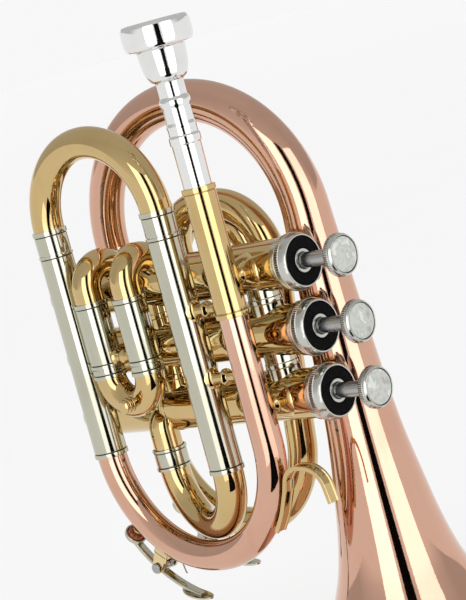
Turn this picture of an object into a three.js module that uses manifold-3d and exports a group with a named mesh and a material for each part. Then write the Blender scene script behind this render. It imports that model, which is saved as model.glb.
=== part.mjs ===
// Pocket trumpet: a B-flat trumpet whose tubing is wound twice round three piston valves.
// Working frame, in millimetres: the origin is the centre of the first valve's top cap,
// +X runs to the finger buttons, +Y to the bell's side and +Z to the mouthpiece.
import * as THREE from "three";
import { mergeVertices } from "three/addons/utils/BufferGeometryUtils.js";
import Module from "manifold-3d";

const wasm = await Module();
wasm.setup();

// Clearances and edges that the whole instrument shares.
const FIT = { seat: 0.3, running: 0.3, chamfer: 0.25, overrun: 2 };

// The main tube and the sleeves and ferrules that go over it.
const TUBE = { radius: 6.3, wall: 0.5, sleeveWall: 0.4, ringWidth: 1.8, ringProud: 0.45 };
const SLEEVE_BORE = TUBE.radius + FIT.running;
const SLEEVE_RADIUS = SLEEVE_BORE + TUBE.sleeveWall;

// The slides of the three valves use a slightly thinner tube.
const SIDE_TUBE = { radius: 6.1, bowRadius: 6.3, ferruleLength: 4.6, grip: 4 };
const SIDE_BORE = SIDE_TUBE.radius + FIT.running;
const SIDE_SLEEVE = SIDE_BORE + TUBE.sleeveWall;

// Three piston valves, one under another along -Z, with their axes along X.
const VALVE = {
  count: 3, pitch: 26.5, casingRadius: 10.2, casingWall: 1.4, casingEnd: -140,
  capRadius: 11.6, capDepth: 9, capPlate: 2.6, capEdge: 1, grooveDepth: 0.4, grooveAt: -7.2,
  footRadius: 11, footTop: -133, footEnd: -143.5, ventRadius: 1.5,
  ringPlaces: [-46, -92], ringWidth: 2.5, ringProud: 0.4,
  guideTop: -57, guideDepth: 3,
};
const FELT = { radius: 9.5, depth: 1.5, collarRadius: 4.75 };
const PISTON = {
  stemRadius: 3.1, spigotRadius: 2, spigotLength: 2, plateTop: -12.2, plateDepth: 2.4,
  plateRadius: 7.4, rodRadius: 2.5, bodyTop: -64, bodyLength: 54, wall: 1.1,
  portRadius: 5.6, portWall: 0.5, portShares: [0.3, 0.68],
};
const BUTTON = { radius: 8.5, depth: 5, height: 16.6, edge: 0.8, pearlRadius: 7, pearlDepth: 1.5, dome: 0.4 };
const SPRING = { radius: 5.6, wire: 0.45, turns: 6 };

// Mouthpiece and the receiver it pushes into, on one axis along Z.
const MOUTHPIECE = { x: -23.6, tip: 15, length: 88.6, rimRadius: 13.5 };
const FRONT_Y = -22;
const RECEIVER = { bottom: -14.1, top: 38.4, radius: 6.4, leadpipeTop: 12 };
const MOUTHPIECE_OUTER_SHARES = [
  [0.363, 0], [0.422, 0.271], [0.433, 0.455], [0.467, 0.462], [0.467, 0.492], [0.43, 0.5],
  [0.43, 0.53], [0.447, 0.54], [0.42, 0.556], [0.407, 0.62], [0.456, 0.636], [0.456, 0.654],
  [0.405, 0.67], [0.4, 0.735], [0.56, 0.748], [0.72, 0.785], [0.8, 0.84], [0.86, 0.9], [1, 0.917],
  [1, 0.98], [0.95, 1],
];
const MOUTHPIECE_CUP_SHARES = [
  [0.7, 1], [0.62, 0.985], [0.6, 0.95], [0.5, 0.9], [0.3, 0.865], [0.15, 0.845],
  [0.136, 0.8], [0.2, 0.5], [0.31, 0],
];

// Leadpipe: down from the receiver, round the low front bow and up into the left sleeve.
const LEADPIPE = {
  topRadius: 5.65, middleRadius: 5.95, middleZ: -60, springZ: -65.7, leftX: -116.8, leftEnd: -56,
};
const MAIN_SLIDE = {
  rightX: -50.1, top: 21, leftBottom: -66.5, rightBottom: -76.5, legEnd: -45,
  ferruleLength: 10.3, bowRadius: 6.6,
};
// Lower bow: from the right sleeve slantwise under the valves to the inlet of valve three.
const LOWER_BOW = { radius: 6.4, springZ: -76.8, top: -67, inletX: -96, inletY: -8.2, inletTop: -74.9 };
const INLET = { ferruleBottom: -77.6, ferruleTop: -69.7, bend: 7, cornerDrop: 4.5 };

// First valve's slide, on the near side, with a pull knob on its bow.
const FIRST = {
  leftX: -101.3, rightX: -77.8, y: -24, top: 0, mouth: -27.7, knuckleBend: 10, aim: 4.14,
};
const KNOB = { degrees: 296, radius: 3.2, post: 2.1, neck: 1, length: 5, edge: 0.8 };
// Second valve's slide points to the far side.
const SECOND = { leftX: -92, rightX: -72, mouth: 25, legEnd: 11.5 };
// Third valve's slide lies on the far side and rises toward the mouthpiece.
const THIRD = {
  leftX: -106, rightX: -58.2, y: 33, bend: 10, knuckleRise: 14, sleeveRise: 10.3, mouth: -18,
  legEnd: -38, spring: 10, barZ: -38.5, barRadius: 1.8,
};
const CROSS_TUBE = { radius: 6.8, bore: 5.6, x: -88, spacerX: -26 };

// Bell: the shares give the height over the rim and the radius between throat and rim.
const BELL = {
  x: -15.9, y: 25.2, tailX: -125.2, tailY: 17.3, bowSpring: 15.6, tailEnd: 12.3, rimZ: -168,
  rimRadius: 54, throatRadius: 9.9, tailRadius: 7.35, wall: 0.6, beadRadius: 1.5,
};
// The flare ends inside the rolled bead: its height and its depth there, as shares of the bead's radius.
const BELL_LIP_SHARES = [0.3672, 0.7938];
const BELL_FLARE_SHARES = [
  [0.01, 0.884], [0.025, 0.772], [0.05, 0.662], [0.085, 0.562], [0.13, 0.465], [0.2, 0.35],
  [0.283, 0.266], [0.3595, 0.212], [0.5147, 0.12], [0.7516, 0.052], [1, 0],
];
const TAIL_FERRULE = { bottom: 5.5, top: 15.4 };

// Extra wrap: from the bell's tail down, round behind the valves and into casing one.
const WRAP = {
  bottomZ: -111.2, bend: 40.2, cornerX: -49.4, endX: -35, endY: 19, endZ: -3,
};
const CROOK = {
  topX: -31, topZ: 26, rightBend: 26, leftX: -88, leftBend: 18, endBend: 7.8, end: 11.2,
};

const BRACE = { rod: 2.6, bead: 3.6, flange: 7.6, bellFlange: 6, plate: 1.2 };
const BELL_BRACE_PLACES = [0, 1];
const MAIN_BRACE_PLACES = [-10, -38];
const SLEEVE_BRACE = { z: -20, rod: 2.8, flange: 6.5 };
const FIRST_BRACE = { x: -89.5, z: -24.5, rod: 2.4, flange: 6.6, wrapShare: 0.7 };

const HOOK = {
  width: 7, thickness: 1.5, footDegrees: -46, middleDegrees: -34, leaveDegrees: -22, bend: 6,
  kneeX: -15.6, kneeZ: -76, farX: 1.4, farZ: -77.4, tipX: 3.4, tipZ: -91.4,
};

// Water keys: angles in degrees round the bow that carries them, heights over the tube.
const KEY = {
  nipple: 3.2, nippleRoot: 1.5, nippleRadius: 2.7, nippleBore: 1.6, corkRadius: 3.7, corkDepth: 2.4,
  cupWall: 0.8, cupRoof: 1, bandDepth: 1.7, bandWidth: 4, lift: 4.4, pivotHeight: 8, hubRadius: 2.6,
  pinRadius: 1.2, lugThickness: 1.2, lugRadius: 2.7, springSpace: 3.2, baseHeight: 1.6, baseLength: 8,
  baseSpan: 30, headRadius: 2.2, headDepth: 1, thumbLength: 9, thumbWidth: 8, wire: 0.3, coilRadius: 2,
  coilTurns: 3,
};
const KEY_ANGLES = [
  { cork: 218.6, pivot: 236, thumb: 258 },
  { cork: 217.6, pivot: 236, thumb: 262 },
];

// Counts: how finely round shapes are divided.
const DETAIL = {
  tube: 12, valve: 16, bell: 22, rod: 8, wideArc: 11, arc: 7, knuckleArc: 4, wire: 4, curl: 6,
};

const metal = (color, roughness) => new THREE.MeshStandardMaterial({ color, roughness, metalness: 1 });
const FINISH = {
  brass: metal(0xcdb47d, 0.22),
  rose: metal(0xcd9b87, 0.22),
  nickel: metal(0xbebeb2, 0.2),
  silver: metal(0xe6e6e4, 0.12),
  steel: metal(0x9a9a98, 0.35),
  pearl: new THREE.MeshStandardMaterial({ color: 0xdcdcd6, roughness: 0.3, metalness: 0 }),
  felt: new THREE.MeshStandardMaterial({ color: 0x161616, roughness: 0.95, metalness: 0 }),
  cork: new THREE.MeshStandardMaterial({ color: 0xb98d5c, roughness: 0.9, metalness: 0 }),
};

const at = (x, y, z) => new THREE.Vector3(x, y, z);
const X = at(1, 0, 0);
const Y = at(0, 1, 0);
const Z = at(0, 0, 1);
const mix = THREE.MathUtils.lerp;

// A closed geometry as a solid, turned right side out.
function solidOf(geometry) {
  const bare = new THREE.BufferGeometry().setAttribute("position", geometry.getAttribute("position"));
  if (geometry.index) bare.setIndex(geometry.index);
  const merged = mergeVertices(bare, 1e-4);
  const make = (triVerts) => new wasm.Manifold(
    new wasm.Mesh({ numProp: 3, vertProperties: merged.attributes.position.array, triVerts }),
  );
  const faces = Uint32Array.from(merged.index.array);
  const made = make(faces);
  return made.volume() < 0 ? make(faces.reverse()) : made;
}

const union = (solids) => solids.reduce((whole, piece) => whole.add(piece));
const without = (solid, cuts) => cuts.reduce((rest, cut) => rest.subtract(cut), solid);

function geometryOf(solid) {
  const data = solid.getMesh();
  const geometry = new THREE.BufferGeometry();
  geometry.setAttribute("position", new THREE.BufferAttribute(Float32Array.from(data.vertProperties), 3));
  geometry.setIndex(new THREE.BufferAttribute(Uint32Array.from(data.triVerts), 1));
  geometry.computeVertexNormals();
  return geometry;
}

// A named mesh of one solid, held at a place in its group.
function piece(name, finish, solid, place = at(0, 0, 0)) {
  const made = new THREE.Mesh(geometryOf(solid), finish);
  made.name = name;
  made.position.copy(place);
  return made;
}

// A turned solid: the profile lists radius and travel, and the travel runs along the axis.
function turned(profile, origin, axis, sides = DETAIL.tube) {
  const points = profile.map(([radius, travel]) => new THREE.Vector2(radius, travel));
  const closed = profile[0][0] === 0 ? points : [...points, points[0]];
  const geometry = new THREE.LatheGeometry(closed, sides);
  geometry.applyQuaternion(new THREE.Quaternion().setFromUnitVectors(Y, axis));
  geometry.translate(origin.x, origin.y, origin.z);
  return solidOf(geometry);
}

const rod = (radius, from, to, origin, axis, sides = DETAIL.rod) =>
  turned([[0, from], [radius, from], [radius, to], [0, to]], origin, axis, sides);

const pipe = (radius, bore, from, to, origin, axis, sides = DETAIL.tube) =>
  turned([[bore, from], [radius, from], [radius, to], [bore, to]], origin, axis, sides);

// A station of a swept tube: where its centre is, where it heads and its two radii.
const station = (place, along, outer, bore = 0) => ({ place, along, outer, bore });

function ringOf(here, normal, radius, sides) {
  const side = here.along.clone().cross(normal);
  return Array.from({ length: sides }, (_, i) => {
    const turn = (i / sides) * Math.PI * 2;
    return here.place.clone()
      .addScaledVector(normal, radius * Math.cos(turn))
      .addScaledVector(side, radius * Math.sin(turn));
  });
}

// Carries the first normal along the stations without twisting it.
function normalsOf(stations, first) {
  const normals = [first.clone()];
  for (let i = 1; i < stations.length; i += 1) {
    const turn = new THREE.Quaternion().setFromUnitVectors(stations[i - 1].along, stations[i].along);
    normals.push(normals[i - 1].clone().applyQuaternion(turn));
  }
  return normals;
}

// Joins rings of points into one closed skin; the last ring meets the first when it loops.
function skinOf(rings, looped) {
  const sides = rings[0].length;
  const points = rings.flat();
  const index = [];
  const last = looped ? rings.length : rings.length - 1;
  for (let i = 0; i < last; i += 1) {
    const next = (i + 1) % rings.length;
    for (let j = 0; j < sides; j += 1) {
      const k = (j + 1) % sides;
      const [a, b, c, d] = [i * sides + j, i * sides + k, next * sides + k, next * sides + j];
      index.push(a, b, c, a, c, d);
    }
  }
  if (!looped) {
    for (let j = 1; j < sides - 1; j += 1) {
      index.push(0, j + 1, j);
      index.push(last * sides, last * sides + j, last * sides + j + 1);
    }
  }
  const geometry = new THREE.BufferGeometry().setFromPoints(points);
  return geometry.setIndex(index);
}

// A tube through the stations: hollow where they have a bore, else a bent rod.
function swept(stations, sides = DETAIL.tube) {
  const first = stations[0].along;
  const guide = Math.abs(first.y) > Math.abs(first.z) ? X : Y;
  const start = guide.clone().addScaledVector(first, -guide.dot(first)).normalize();
  const normals = normalsOf(stations, start);
  const outside = stations.map((here, i) => ringOf(here, normals[i], here.outer, sides));
  if (!stations[0].bore) return solidOf(skinOf(outside, false));
  const inside = stations.map((here, i) => ringOf(here, normals[i], here.bore, sides));
  return solidOf(skinOf([...outside, ...inside.reverse()], true));
}

const inward = (stations, cut) => stations.map((here) => ({ ...here, outer: here.outer - cut, bore: 0 }));
const hollowed = (stations, wall) => stations.map((here) => ({ ...here, bore: here.outer - wall }));
const swollen = (stations, radius) => stations.map((here) => ({ ...here, outer: radius, bore: 0 }));

// Straight runs joined by arcs: each inner corner is rounded with its bend.
function filleted(corners, bends, outer, steps = DETAIL.arc) {
  const stations = [];
  const heading = (i) => corners[i + 1].clone().sub(corners[i]).normalize();
  stations.push(station(corners[0], heading(0), outer));
  for (let i = 1; i < corners.length - 1; i += 1) {
    const [before, after] = [heading(i - 1), heading(i)];
    const turn = before.angleTo(after);
    const bend = bends[i - 1];
    const start = corners[i].clone().addScaledVector(before, -bend * Math.tan(turn / 2));
    const inner = after.clone().addScaledVector(before, -after.dot(before)).normalize();
    const centre = start.clone().addScaledVector(inner, bend);
    for (let k = 0; k <= steps; k += 1) {
      const angle = (turn * k) / steps;
      const place = centre.clone()
        .addScaledVector(inner, -bend * Math.cos(angle))
        .addScaledVector(before, bend * Math.sin(angle));
      const along = before.clone().multiplyScalar(Math.cos(angle)).addScaledVector(inner, Math.sin(angle));
      stations.push(station(place, along, outer));
    }
  }
  stations.push(station(corners.at(-1), heading(corners.length - 2), outer));
  return stations;
}

// A U: up the first leg's knots, round the bow and down the second's. A knot is a height
// along the way out and the tube's radius there.
function bentU(start, end, out, startKnots, endKnots) {
  const leg = (foot, knots, along) => knots.map(([height, outer]) =>
    station(foot.clone().addScaledVector(out, height), along, outer));
  const [height, firstRadius] = startKnots.at(-1);
  const lastRadius = endKnots.at(-1)[1];
  const across = end.clone().sub(start).multiplyScalar(0.5);
  const bend = across.length();
  const steps = bend > VALVE.pitch ? DETAIL.wideArc : DETAIL.arc;
  const centre = start.clone().add(across).addScaledVector(out, height);
  const bow = [];
  for (let k = 1; k < steps; k += 1) {
    const angle = (Math.PI * k) / steps;
    const place = centre.clone()
      .addScaledVector(across, -Math.cos(angle))
      .addScaledVector(out, bend * Math.sin(angle));
    const along = out.clone().multiplyScalar(Math.cos(angle))
      .addScaledVector(across.clone().normalize(), Math.sin(angle));
    bow.push(station(place, along, mix(firstRadius, lastRadius, k / steps)));
  }
  const down = leg(end, endKnots, out.clone().negate()).reverse();
  return [...leg(start, startKnots, out), ...bow, ...down];
}

// Both legs of a slide, from the inner end over the mouth of the sleeve, and its bow. A leg
// with a ring has a raised one at the end of its ferrule.
function slideStations(left, right, out, leg) {
  const edge = FIT.chamfer;
  const ring = leg.ferruleRadius + TUBE.ringProud;
  const ringFoot = leg.ferrule - TUBE.ringWidth;
  const ringKnots = leg.ring ? [[ringFoot - edge, leg.ferruleRadius], [ringFoot, ring]] : [];
  const rise = leg.spring > leg.ferrule ? [[leg.spring, leg.bow]] : [];
  const knots = [
    [-leg.length, leg.radius], [FIT.seat, leg.radius], [FIT.seat + edge, leg.ferruleRadius], ...ringKnots,
    [leg.ferrule - edge, leg.ring ? ring : leg.ferruleRadius], [leg.ferrule, leg.bow], ...rise,
  ];
  return bentU(left, right, out, knots, knots);
}

// A slide is thin everywhere but where a ferrule thickens it over one even bore.
function slideSolid(stations, radius) {
  const bore = radius - TUBE.wall;
  return swept(stations.map((here) => ({ ...here, bore })));
}

// An outer sleeve with a raised ring at either end.
function sleeve(place, axis, from, to, bore) {
  const radius = bore + TUBE.sleeveWall;
  const ring = radius + TUBE.ringProud;
  const [low, high] = [from + TUBE.ringWidth, to - TUBE.ringWidth];
  const edge = FIT.chamfer;
  return turned([
    [bore, from], [ring, from], [ring, low], [radius, low + edge], [radius, high - edge],
    [ring, high], [ring, to], [bore, to],
  ], place, axis);
}

// Valve parts, turned about X from the cap's outer face.
const BORE = VALVE.casingRadius - VALVE.casingWall;
const CASING_TOP = -VALVE.capPlate - FIT.seat;
const STEM_HOLE = PISTON.stemRadius + FIT.running;

function topCap() {
  const skirt = VALVE.casingRadius + FIT.seat;
  const pocket = FELT.radius + FIT.seat;
  const groove = VALVE.capRadius - VALVE.grooveDepth;
  const edge = VALVE.capEdge;
  return turned([
    [skirt, -VALVE.capDepth], [groove, -VALVE.capDepth], [groove, VALVE.grooveAt - FIT.chamfer],
    [VALVE.capRadius, VALVE.grooveAt], [VALVE.capRadius, -edge], [VALVE.capRadius - edge, 0],
    [pocket, 0], [pocket, -FELT.depth], [FELT.collarRadius, -FELT.depth], [FELT.collarRadius, 0],
    [STEM_HOLE, 0], [STEM_HOLE, -VALVE.capPlate], [skirt, -VALVE.capPlate],
  ], at(0, 0, 0), X, DETAIL.valve);
}

const felt = () => pipe(
  FELT.radius, FELT.collarRadius + FIT.seat, -FELT.depth + FIT.seat, -FIT.chamfer,
  at(0, 0, 0), X, DETAIL.valve,
);

function bottomCap() {
  const pocket = VALVE.casingRadius + FIT.seat;
  const floor = VALVE.casingEnd - FIT.seat;
  const edge = VALVE.capEdge;
  return turned([
    [VALVE.ventRadius, VALVE.footEnd], [VALVE.footRadius - edge, VALVE.footEnd],
    [VALVE.footRadius, VALVE.footEnd + edge], [VALVE.footRadius, VALVE.footTop],
    [pocket, VALVE.footTop], [pocket, floor], [VALVE.ventRadius, floor],
  ], at(0, 0, 0), X, DETAIL.valve);
}

function piston() {
  const radius = BORE - FIT.running;
  const shoulder = BUTTON.height - FIT.seat;
  const plateFoot = PISTON.plateTop - PISTON.plateDepth;
  const bodyFoot = PISTON.bodyTop - PISTON.bodyLength;
  const hollow = radius - PISTON.wall;
  const barrel = turned([
    [0, shoulder + PISTON.spigotLength], [PISTON.spigotRadius, shoulder + PISTON.spigotLength],
    [PISTON.spigotRadius, shoulder], [PISTON.stemRadius, shoulder],
    [PISTON.stemRadius, PISTON.plateTop], [PISTON.plateRadius, PISTON.plateTop],
    [PISTON.plateRadius, plateFoot], [PISTON.rodRadius, plateFoot],
    [PISTON.rodRadius, PISTON.bodyTop], [radius, PISTON.bodyTop], [radius, bodyFoot],
    [hollow, bodyFoot], [hollow, PISTON.bodyTop - PISTON.wall], [0, PISTON.bodyTop - PISTON.wall],
  ], at(0, 0, 0), X);
  const outline = rod(radius, bodyFoot, PISTON.bodyTop, at(0, 0, 0), X, DETAIL.tube);
  const places = PISTON.portShares.map((share) => at(PISTON.bodyTop - share * PISTON.bodyLength, 0, 0));
  const reach = radius + FIT.overrun;
  const walls = places.map((place) =>
    rod(PISTON.portRadius + PISTON.portWall, -reach, reach, place, Y).intersect(outline));
  const bores = places.map((place) => rod(PISTON.portRadius, -reach, reach, place, Y));
  return without(union([barrel, ...walls]), bores);
}

function button() {
  const hole = PISTON.spigotRadius + FIT.seat;
  const foot = BUTTON.height;
  const face = foot + BUTTON.depth;
  const pocket = BUTTON.pearlRadius + FIT.seat;
  const edge = BUTTON.edge;
  const holeTop = foot + PISTON.spigotLength + FIT.seat;
  return turned([
    [0, holeTop], [hole, holeTop], [hole, foot], [BUTTON.radius - edge, foot],
    [BUTTON.radius, foot + edge], [BUTTON.radius, face - edge], [BUTTON.radius - edge, face],
    [pocket, face], [pocket, face - BUTTON.pearlDepth], [0, face - BUTTON.pearlDepth],
  ], at(0, 0, 0), X, DETAIL.valve);
}

function pearl() {
  const face = BUTTON.height + BUTTON.depth;
  const foot = face - BUTTON.pearlDepth + FIT.seat;
  return turned([
    [0, foot], [BUTTON.pearlRadius, foot], [BUTTON.pearlRadius, face - FIT.chamfer],
    [BUTTON.pearlRadius - BUTTON.edge, face], [0, face + BUTTON.dome],
  ], at(0, 0, 0), X, DETAIL.valve);
}

// A wire wound round an axis between two travels.
function coil(radius, wire, turns, from, to, origin, axis) {
  const side = Math.abs(axis.x) > 0 ? Y : X;
  const other = axis.clone().cross(side);
  const count = turns * DETAIL.curl;
  const pitch = (to - from) / (Math.PI * 2 * turns);
  const stations = Array.from({ length: count + 1 }, (_, i) => {
    const angle = (Math.PI * 2 * turns * i) / count;
    const place = origin.clone().addScaledVector(axis, from + pitch * angle)
      .addScaledVector(side, radius * Math.cos(angle)).addScaledVector(other, radius * Math.sin(angle));
    const along = axis.clone().multiplyScalar(pitch)
      .addScaledVector(side, -radius * Math.sin(angle))
      .addScaledVector(other, radius * Math.cos(angle)).normalize();
    return station(place, along, wire);
  });
  return swept(stations, DETAIL.wire);
}

function valveSpring() {
  const top = PISTON.plateTop - PISTON.plateDepth - FIT.seat - SPRING.wire;
  const foot = VALVE.guideTop + FIT.seat + SPRING.wire;
  return coil(SPRING.radius, SPRING.wire, SPRING.turns, foot, top, at(0, 0, 0), X);
}

// The casing's tube with its raised rings, the guide inside and the tubes that join it.
// Each port is a list of stations that ends on the valve's axis.
function casing(ports, extras, cuts) {
  const radius = VALVE.casingRadius;
  const outline = [[0, VALVE.casingEnd], [radius, VALVE.casingEnd]];
  for (const place of [...VALVE.ringPlaces].reverse()) {
    const [low, high] = [place - VALVE.ringWidth / 2, place + VALVE.ringWidth / 2];
    const proud = radius + VALVE.ringProud;
    outline.push([radius, low], [proud, low + FIT.chamfer], [proud, high - FIT.chamfer], [radius, high]);
  }
  outline.push([radius, CASING_TOP], [0, CASING_TOP]);
  const body = turned(outline, at(0, 0, 0), X, DETAIL.valve);
  const run = FIT.overrun;
  const bore = rod(BORE, VALVE.casingEnd - run, CASING_TOP + run, at(0, 0, 0), X, DETAIL.valve);
  const tubes = ports.map((port) => swept(port));
  const bores = ports.map((port) => {
    const inner = inward(port, TUBE.wall);
    const head = inner[0];
    return swept([{ ...head, place: head.place.clone().addScaledVector(head.along, -run) }, ...inner]);
  });
  const guide = pipe(
    BORE + FIT.chamfer, PISTON.rodRadius + FIT.running, VALVE.guideTop - VALVE.guideDepth, VALVE.guideTop,
    at(0, 0, 0), X, DETAIL.valve,
  );
  const whole = without(union([body, ...tubes, ...extras]), [bore, ...bores, ...cuts]);
  return whole.add(guide);
}

function firstKnuckle(x) {
  const corner = at(x, FIRST.y, FIRST.aim - FIRST.y);
  const corners = [at(x, FIRST.y, FIRST.top - SIDE_TUBE.grip), corner, at(x, 0, FIRST.aim)];
  return filleted(corners, [FIRST.knuckleBend], SIDE_TUBE.radius, DETAIL.knuckleArc);
}

function thirdKnuckle(x) {
  const corners = [at(x, THIRD.y, THIRD.knuckleRise), at(x, THIRD.y, 0), at(x, 0, 0)];
  return filleted(corners, [THIRD.bend], SIDE_TUBE.radius, DETAIL.knuckleArc);
}

// How far the third valve's axis lies under the first's.
const THIRD_Z = -VALVE.pitch * (VALVE.count - 1);

function inletStub() {
  const foot = at(LOWER_BOW.inletX, LOWER_BOW.inletY, LOWER_BOW.inletTop + FIT.seat - THIRD_Z);
  const corner = at(LOWER_BOW.inletX, LOWER_BOW.inletY, -INLET.cornerDrop);
  return filleted([foot, corner, at(LOWER_BOW.inletX, 0, 0)], [INLET.bend], TUBE.radius, DETAIL.knuckleArc);
}

const rearPort = () => [
  station(at(CROOK.leftX, CROOK.end - FIT.seat, 0), Y.clone().negate(), TUBE.radius),
  station(at(CROOK.leftX, 0, 0), Y.clone().negate(), TUBE.radius),
];

// The second valve's sleeves stand straight out.
const secondPort = (x) => [
  station(at(x, SECOND.mouth, 0), Y.clone().negate(), SIDE_BORE + TUBE.wall),
  station(at(x, 0, 0), Y.clone().negate(), SIDE_BORE + TUBE.wall),
];

// The hole in a casing's wall for a cross tube, up (1) or down (-1) from the valve's axis.
const crossPort = (way) => rod(
  CROSS_TUBE.bore, 0, VALVE.pitch, at(CROSS_TUBE.x, 0, 0), Z.clone().multiplyScalar(way), DETAIL.tube,
);

// The room of the casing at a height and of its rings, with the air that a seated neighbour keeps.
function casingRoom(z) {
  const round = (radius, from, to) => rod(radius + FIT.seat, from, to, at(0, 0, z), X, DETAIL.valve);
  const half = VALVE.ringWidth / 2 + FIT.seat;
  const rings = VALVE.ringPlaces.map((place) =>
    round(VALVE.casingRadius + VALVE.ringProud, place - half, place + half));
  return [round(VALVE.casingRadius, VALVE.casingEnd, 0), ...rings];
}

// A tube from a valve's axis up (1) or down (-1) to the next casing, which it meets all round.
function crossTube(x, way) {
  const axis = Z.clone().multiplyScalar(way);
  const tube = rod(CROSS_TUBE.radius, 0, VALVE.pitch, at(x, 0, 0), axis, DETAIL.tube);
  return without(tube, casingRoom(VALVE.pitch * way));
}

// The middle casing carries both tubes between the valves, and its neighbours carry the spacers.
const CASINGS = [
  () => casing(
    [firstKnuckle(FIRST.leftX), firstKnuckle(FIRST.rightX), rearPort()],
    [crossTube(CROSS_TUBE.spacerX, -1)], [crossPort(-1)],
  ),
  () => casing(
    [secondPort(SECOND.leftX), secondPort(SECOND.rightX)],
    [crossTube(CROSS_TUBE.x, 1), crossTube(CROSS_TUBE.x, -1)], [crossPort(1), crossPort(-1)],
  ),
  () => casing(
    [thirdKnuckle(THIRD.leftX), thirdKnuckle(THIRD.rightX), inletStub()],
    [crossTube(CROSS_TUBE.spacerX, 1)], [crossPort(1)],
  ),
];

function valve(index) {
  const group = new THREE.Group();
  group.position.z = -VALVE.pitch * index;
  const number = index + 1;
  group.add(
    piece(`casing_${number}`, FINISH.brass, CASINGS[index]()),
    piece(`top_cap_${number}`, FINISH.nickel, topCap()),
    piece(`bottom_cap_${number}`, FINISH.nickel, bottomCap()),
    piece(`felt_${number}`, FINISH.felt, felt()),
    piece(`piston_${number}`, FINISH.steel, piston()),
    piece(`valve_spring_${number}`, FINISH.steel, valveSpring()),
    piece(`button_${number}`, FINISH.nickel, button()),
    piece(`pearl_${number}`, FINISH.pearl, pearl()),
  );
  return group;
}

function mouthpiece() {
  const place = ([radius, height]) => [radius * MOUTHPIECE.rimRadius, height * MOUTHPIECE.length];
  const profile = [...MOUTHPIECE_OUTER_SHARES, ...MOUTHPIECE_CUP_SHARES].map(place);
  return turned(profile, at(MOUTHPIECE.x, FRONT_Y, MOUTHPIECE.tip), Z, DETAIL.valve);
}

function receiver() {
  const shank = (share) => share * MOUTHPIECE.rimRadius + FIT.seat;
  const [[tipShare], [neckShare, neckHeightShare]] = MOUTHPIECE_OUTER_SHARES;
  const seatRise = (RECEIVER.top - MOUTHPIECE.tip) / (neckHeightShare * MOUTHPIECE.length);
  const mouth = shank(mix(tipShare, neckShare, seatRise));
  const ring = RECEIVER.radius + TUBE.ringProud;
  const pipeSeat = LEADPIPE.topRadius + FIT.seat;
  const [low, high] = [RECEIVER.bottom + TUBE.ringWidth, RECEIVER.top - TUBE.ringWidth];
  const edge = FIT.chamfer;
  return turned([
    [pipeSeat, RECEIVER.bottom], [ring, RECEIVER.bottom], [ring, low], [RECEIVER.radius, low + edge],
    [RECEIVER.radius, high - edge], [ring, high], [ring, RECEIVER.top], [mouth, RECEIVER.top],
    [shank(tipShare), MOUTHPIECE.tip], [pipeSeat, RECEIVER.leadpipeTop],
  ], at(MOUTHPIECE.x, FRONT_Y, 0), Z);
}

// A point at an angle round a bow that lies in a plane of X and Z.
function onBow(bow, degrees, distance) {
  const angle = THREE.MathUtils.degToRad(degrees);
  return at(bow.x + distance * Math.cos(angle), bow.y, bow.z + distance * Math.sin(angle));
}

const outwardAt = (degrees) => onBow({ x: 0, y: 0, z: 0 }, degrees, 1);

// The tube of a bow between two angles, thickened or thinned to a radius.
function bowTube(bow, fromDegrees, toDegrees, radius) {
  const stations = Array.from({ length: DETAIL.arc + 1 }, (_, i) => {
    const degrees = mix(fromDegrees, toDegrees, i / DETAIL.arc);
    const along = outwardAt(degrees + 90);
    return station(onBow(bow, degrees, bow.bend), along, radius);
  });
  return swept(stations);
}

// A drain hole and its nipple on the outside of a bow.
function withNipple(tube, bow, degrees) {
  const [place, axis] = [onBow(bow, degrees, bow.bend), outwardAt(degrees)];
  const tip = bow.radius + KEY.nipple;
  const stub = rod(KEY.nippleRadius, bow.radius - KEY.nippleRoot, tip, place, axis);
  const hole = rod(KEY.nippleBore, 0, tip + FIT.overrun, place, axis);
  return tube.add(stub).subtract(hole);
}

const FRONT_BOW = {
  x: (MOUTHPIECE.x + LEADPIPE.leftX) / 2, y: FRONT_Y, z: LEADPIPE.springZ,
  bend: (MOUTHPIECE.x - LEADPIPE.leftX) / 2, radius: TUBE.radius,
};
const WRAP_BOW = {
  x: BELL.tailX + WRAP.bend, y: BELL.tailY, z: WRAP.bottomZ + WRAP.bend, bend: WRAP.bend,
  radius: TUBE.radius,
};

function leadpipe() {
  const down = Z.clone().negate();
  const startKnots = [
    [-(RECEIVER.leadpipeTop - FIT.seat), LEADPIPE.topRadius], [-RECEIVER.bottom, LEADPIPE.topRadius],
    [-LEADPIPE.middleZ, LEADPIPE.middleRadius], [-LEADPIPE.springZ, TUBE.radius],
  ];
  const endKnots = [[-LEADPIPE.leftEnd, TUBE.radius], [-LEADPIPE.springZ, TUBE.radius]];
  const [start, end] = [at(MOUTHPIECE.x, FRONT_Y, 0), at(LEADPIPE.leftX, FRONT_Y, 0)];
  const tube = swept(hollowed(bentU(start, end, down, startKnots, endKnots), TUBE.wall));
  return withNipple(tube, FRONT_BOW, KEY_ANGLES[0].cork);
}

function mainSlide() {
  const leg = {
    length: MAIN_SLIDE.top - MAIN_SLIDE.legEnd, radius: TUBE.radius, ferrule: MAIN_SLIDE.ferruleLength,
    ferruleRadius: SLEEVE_RADIUS, bow: MAIN_SLIDE.bowRadius, spring: 0, ring: true,
  };
  const ends = [LEADPIPE.leftX, MAIN_SLIDE.rightX].map((x) => at(x, FRONT_Y, MAIN_SLIDE.top));
  return slideSolid(slideStations(...ends, Z, leg), TUBE.radius);
}

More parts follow.
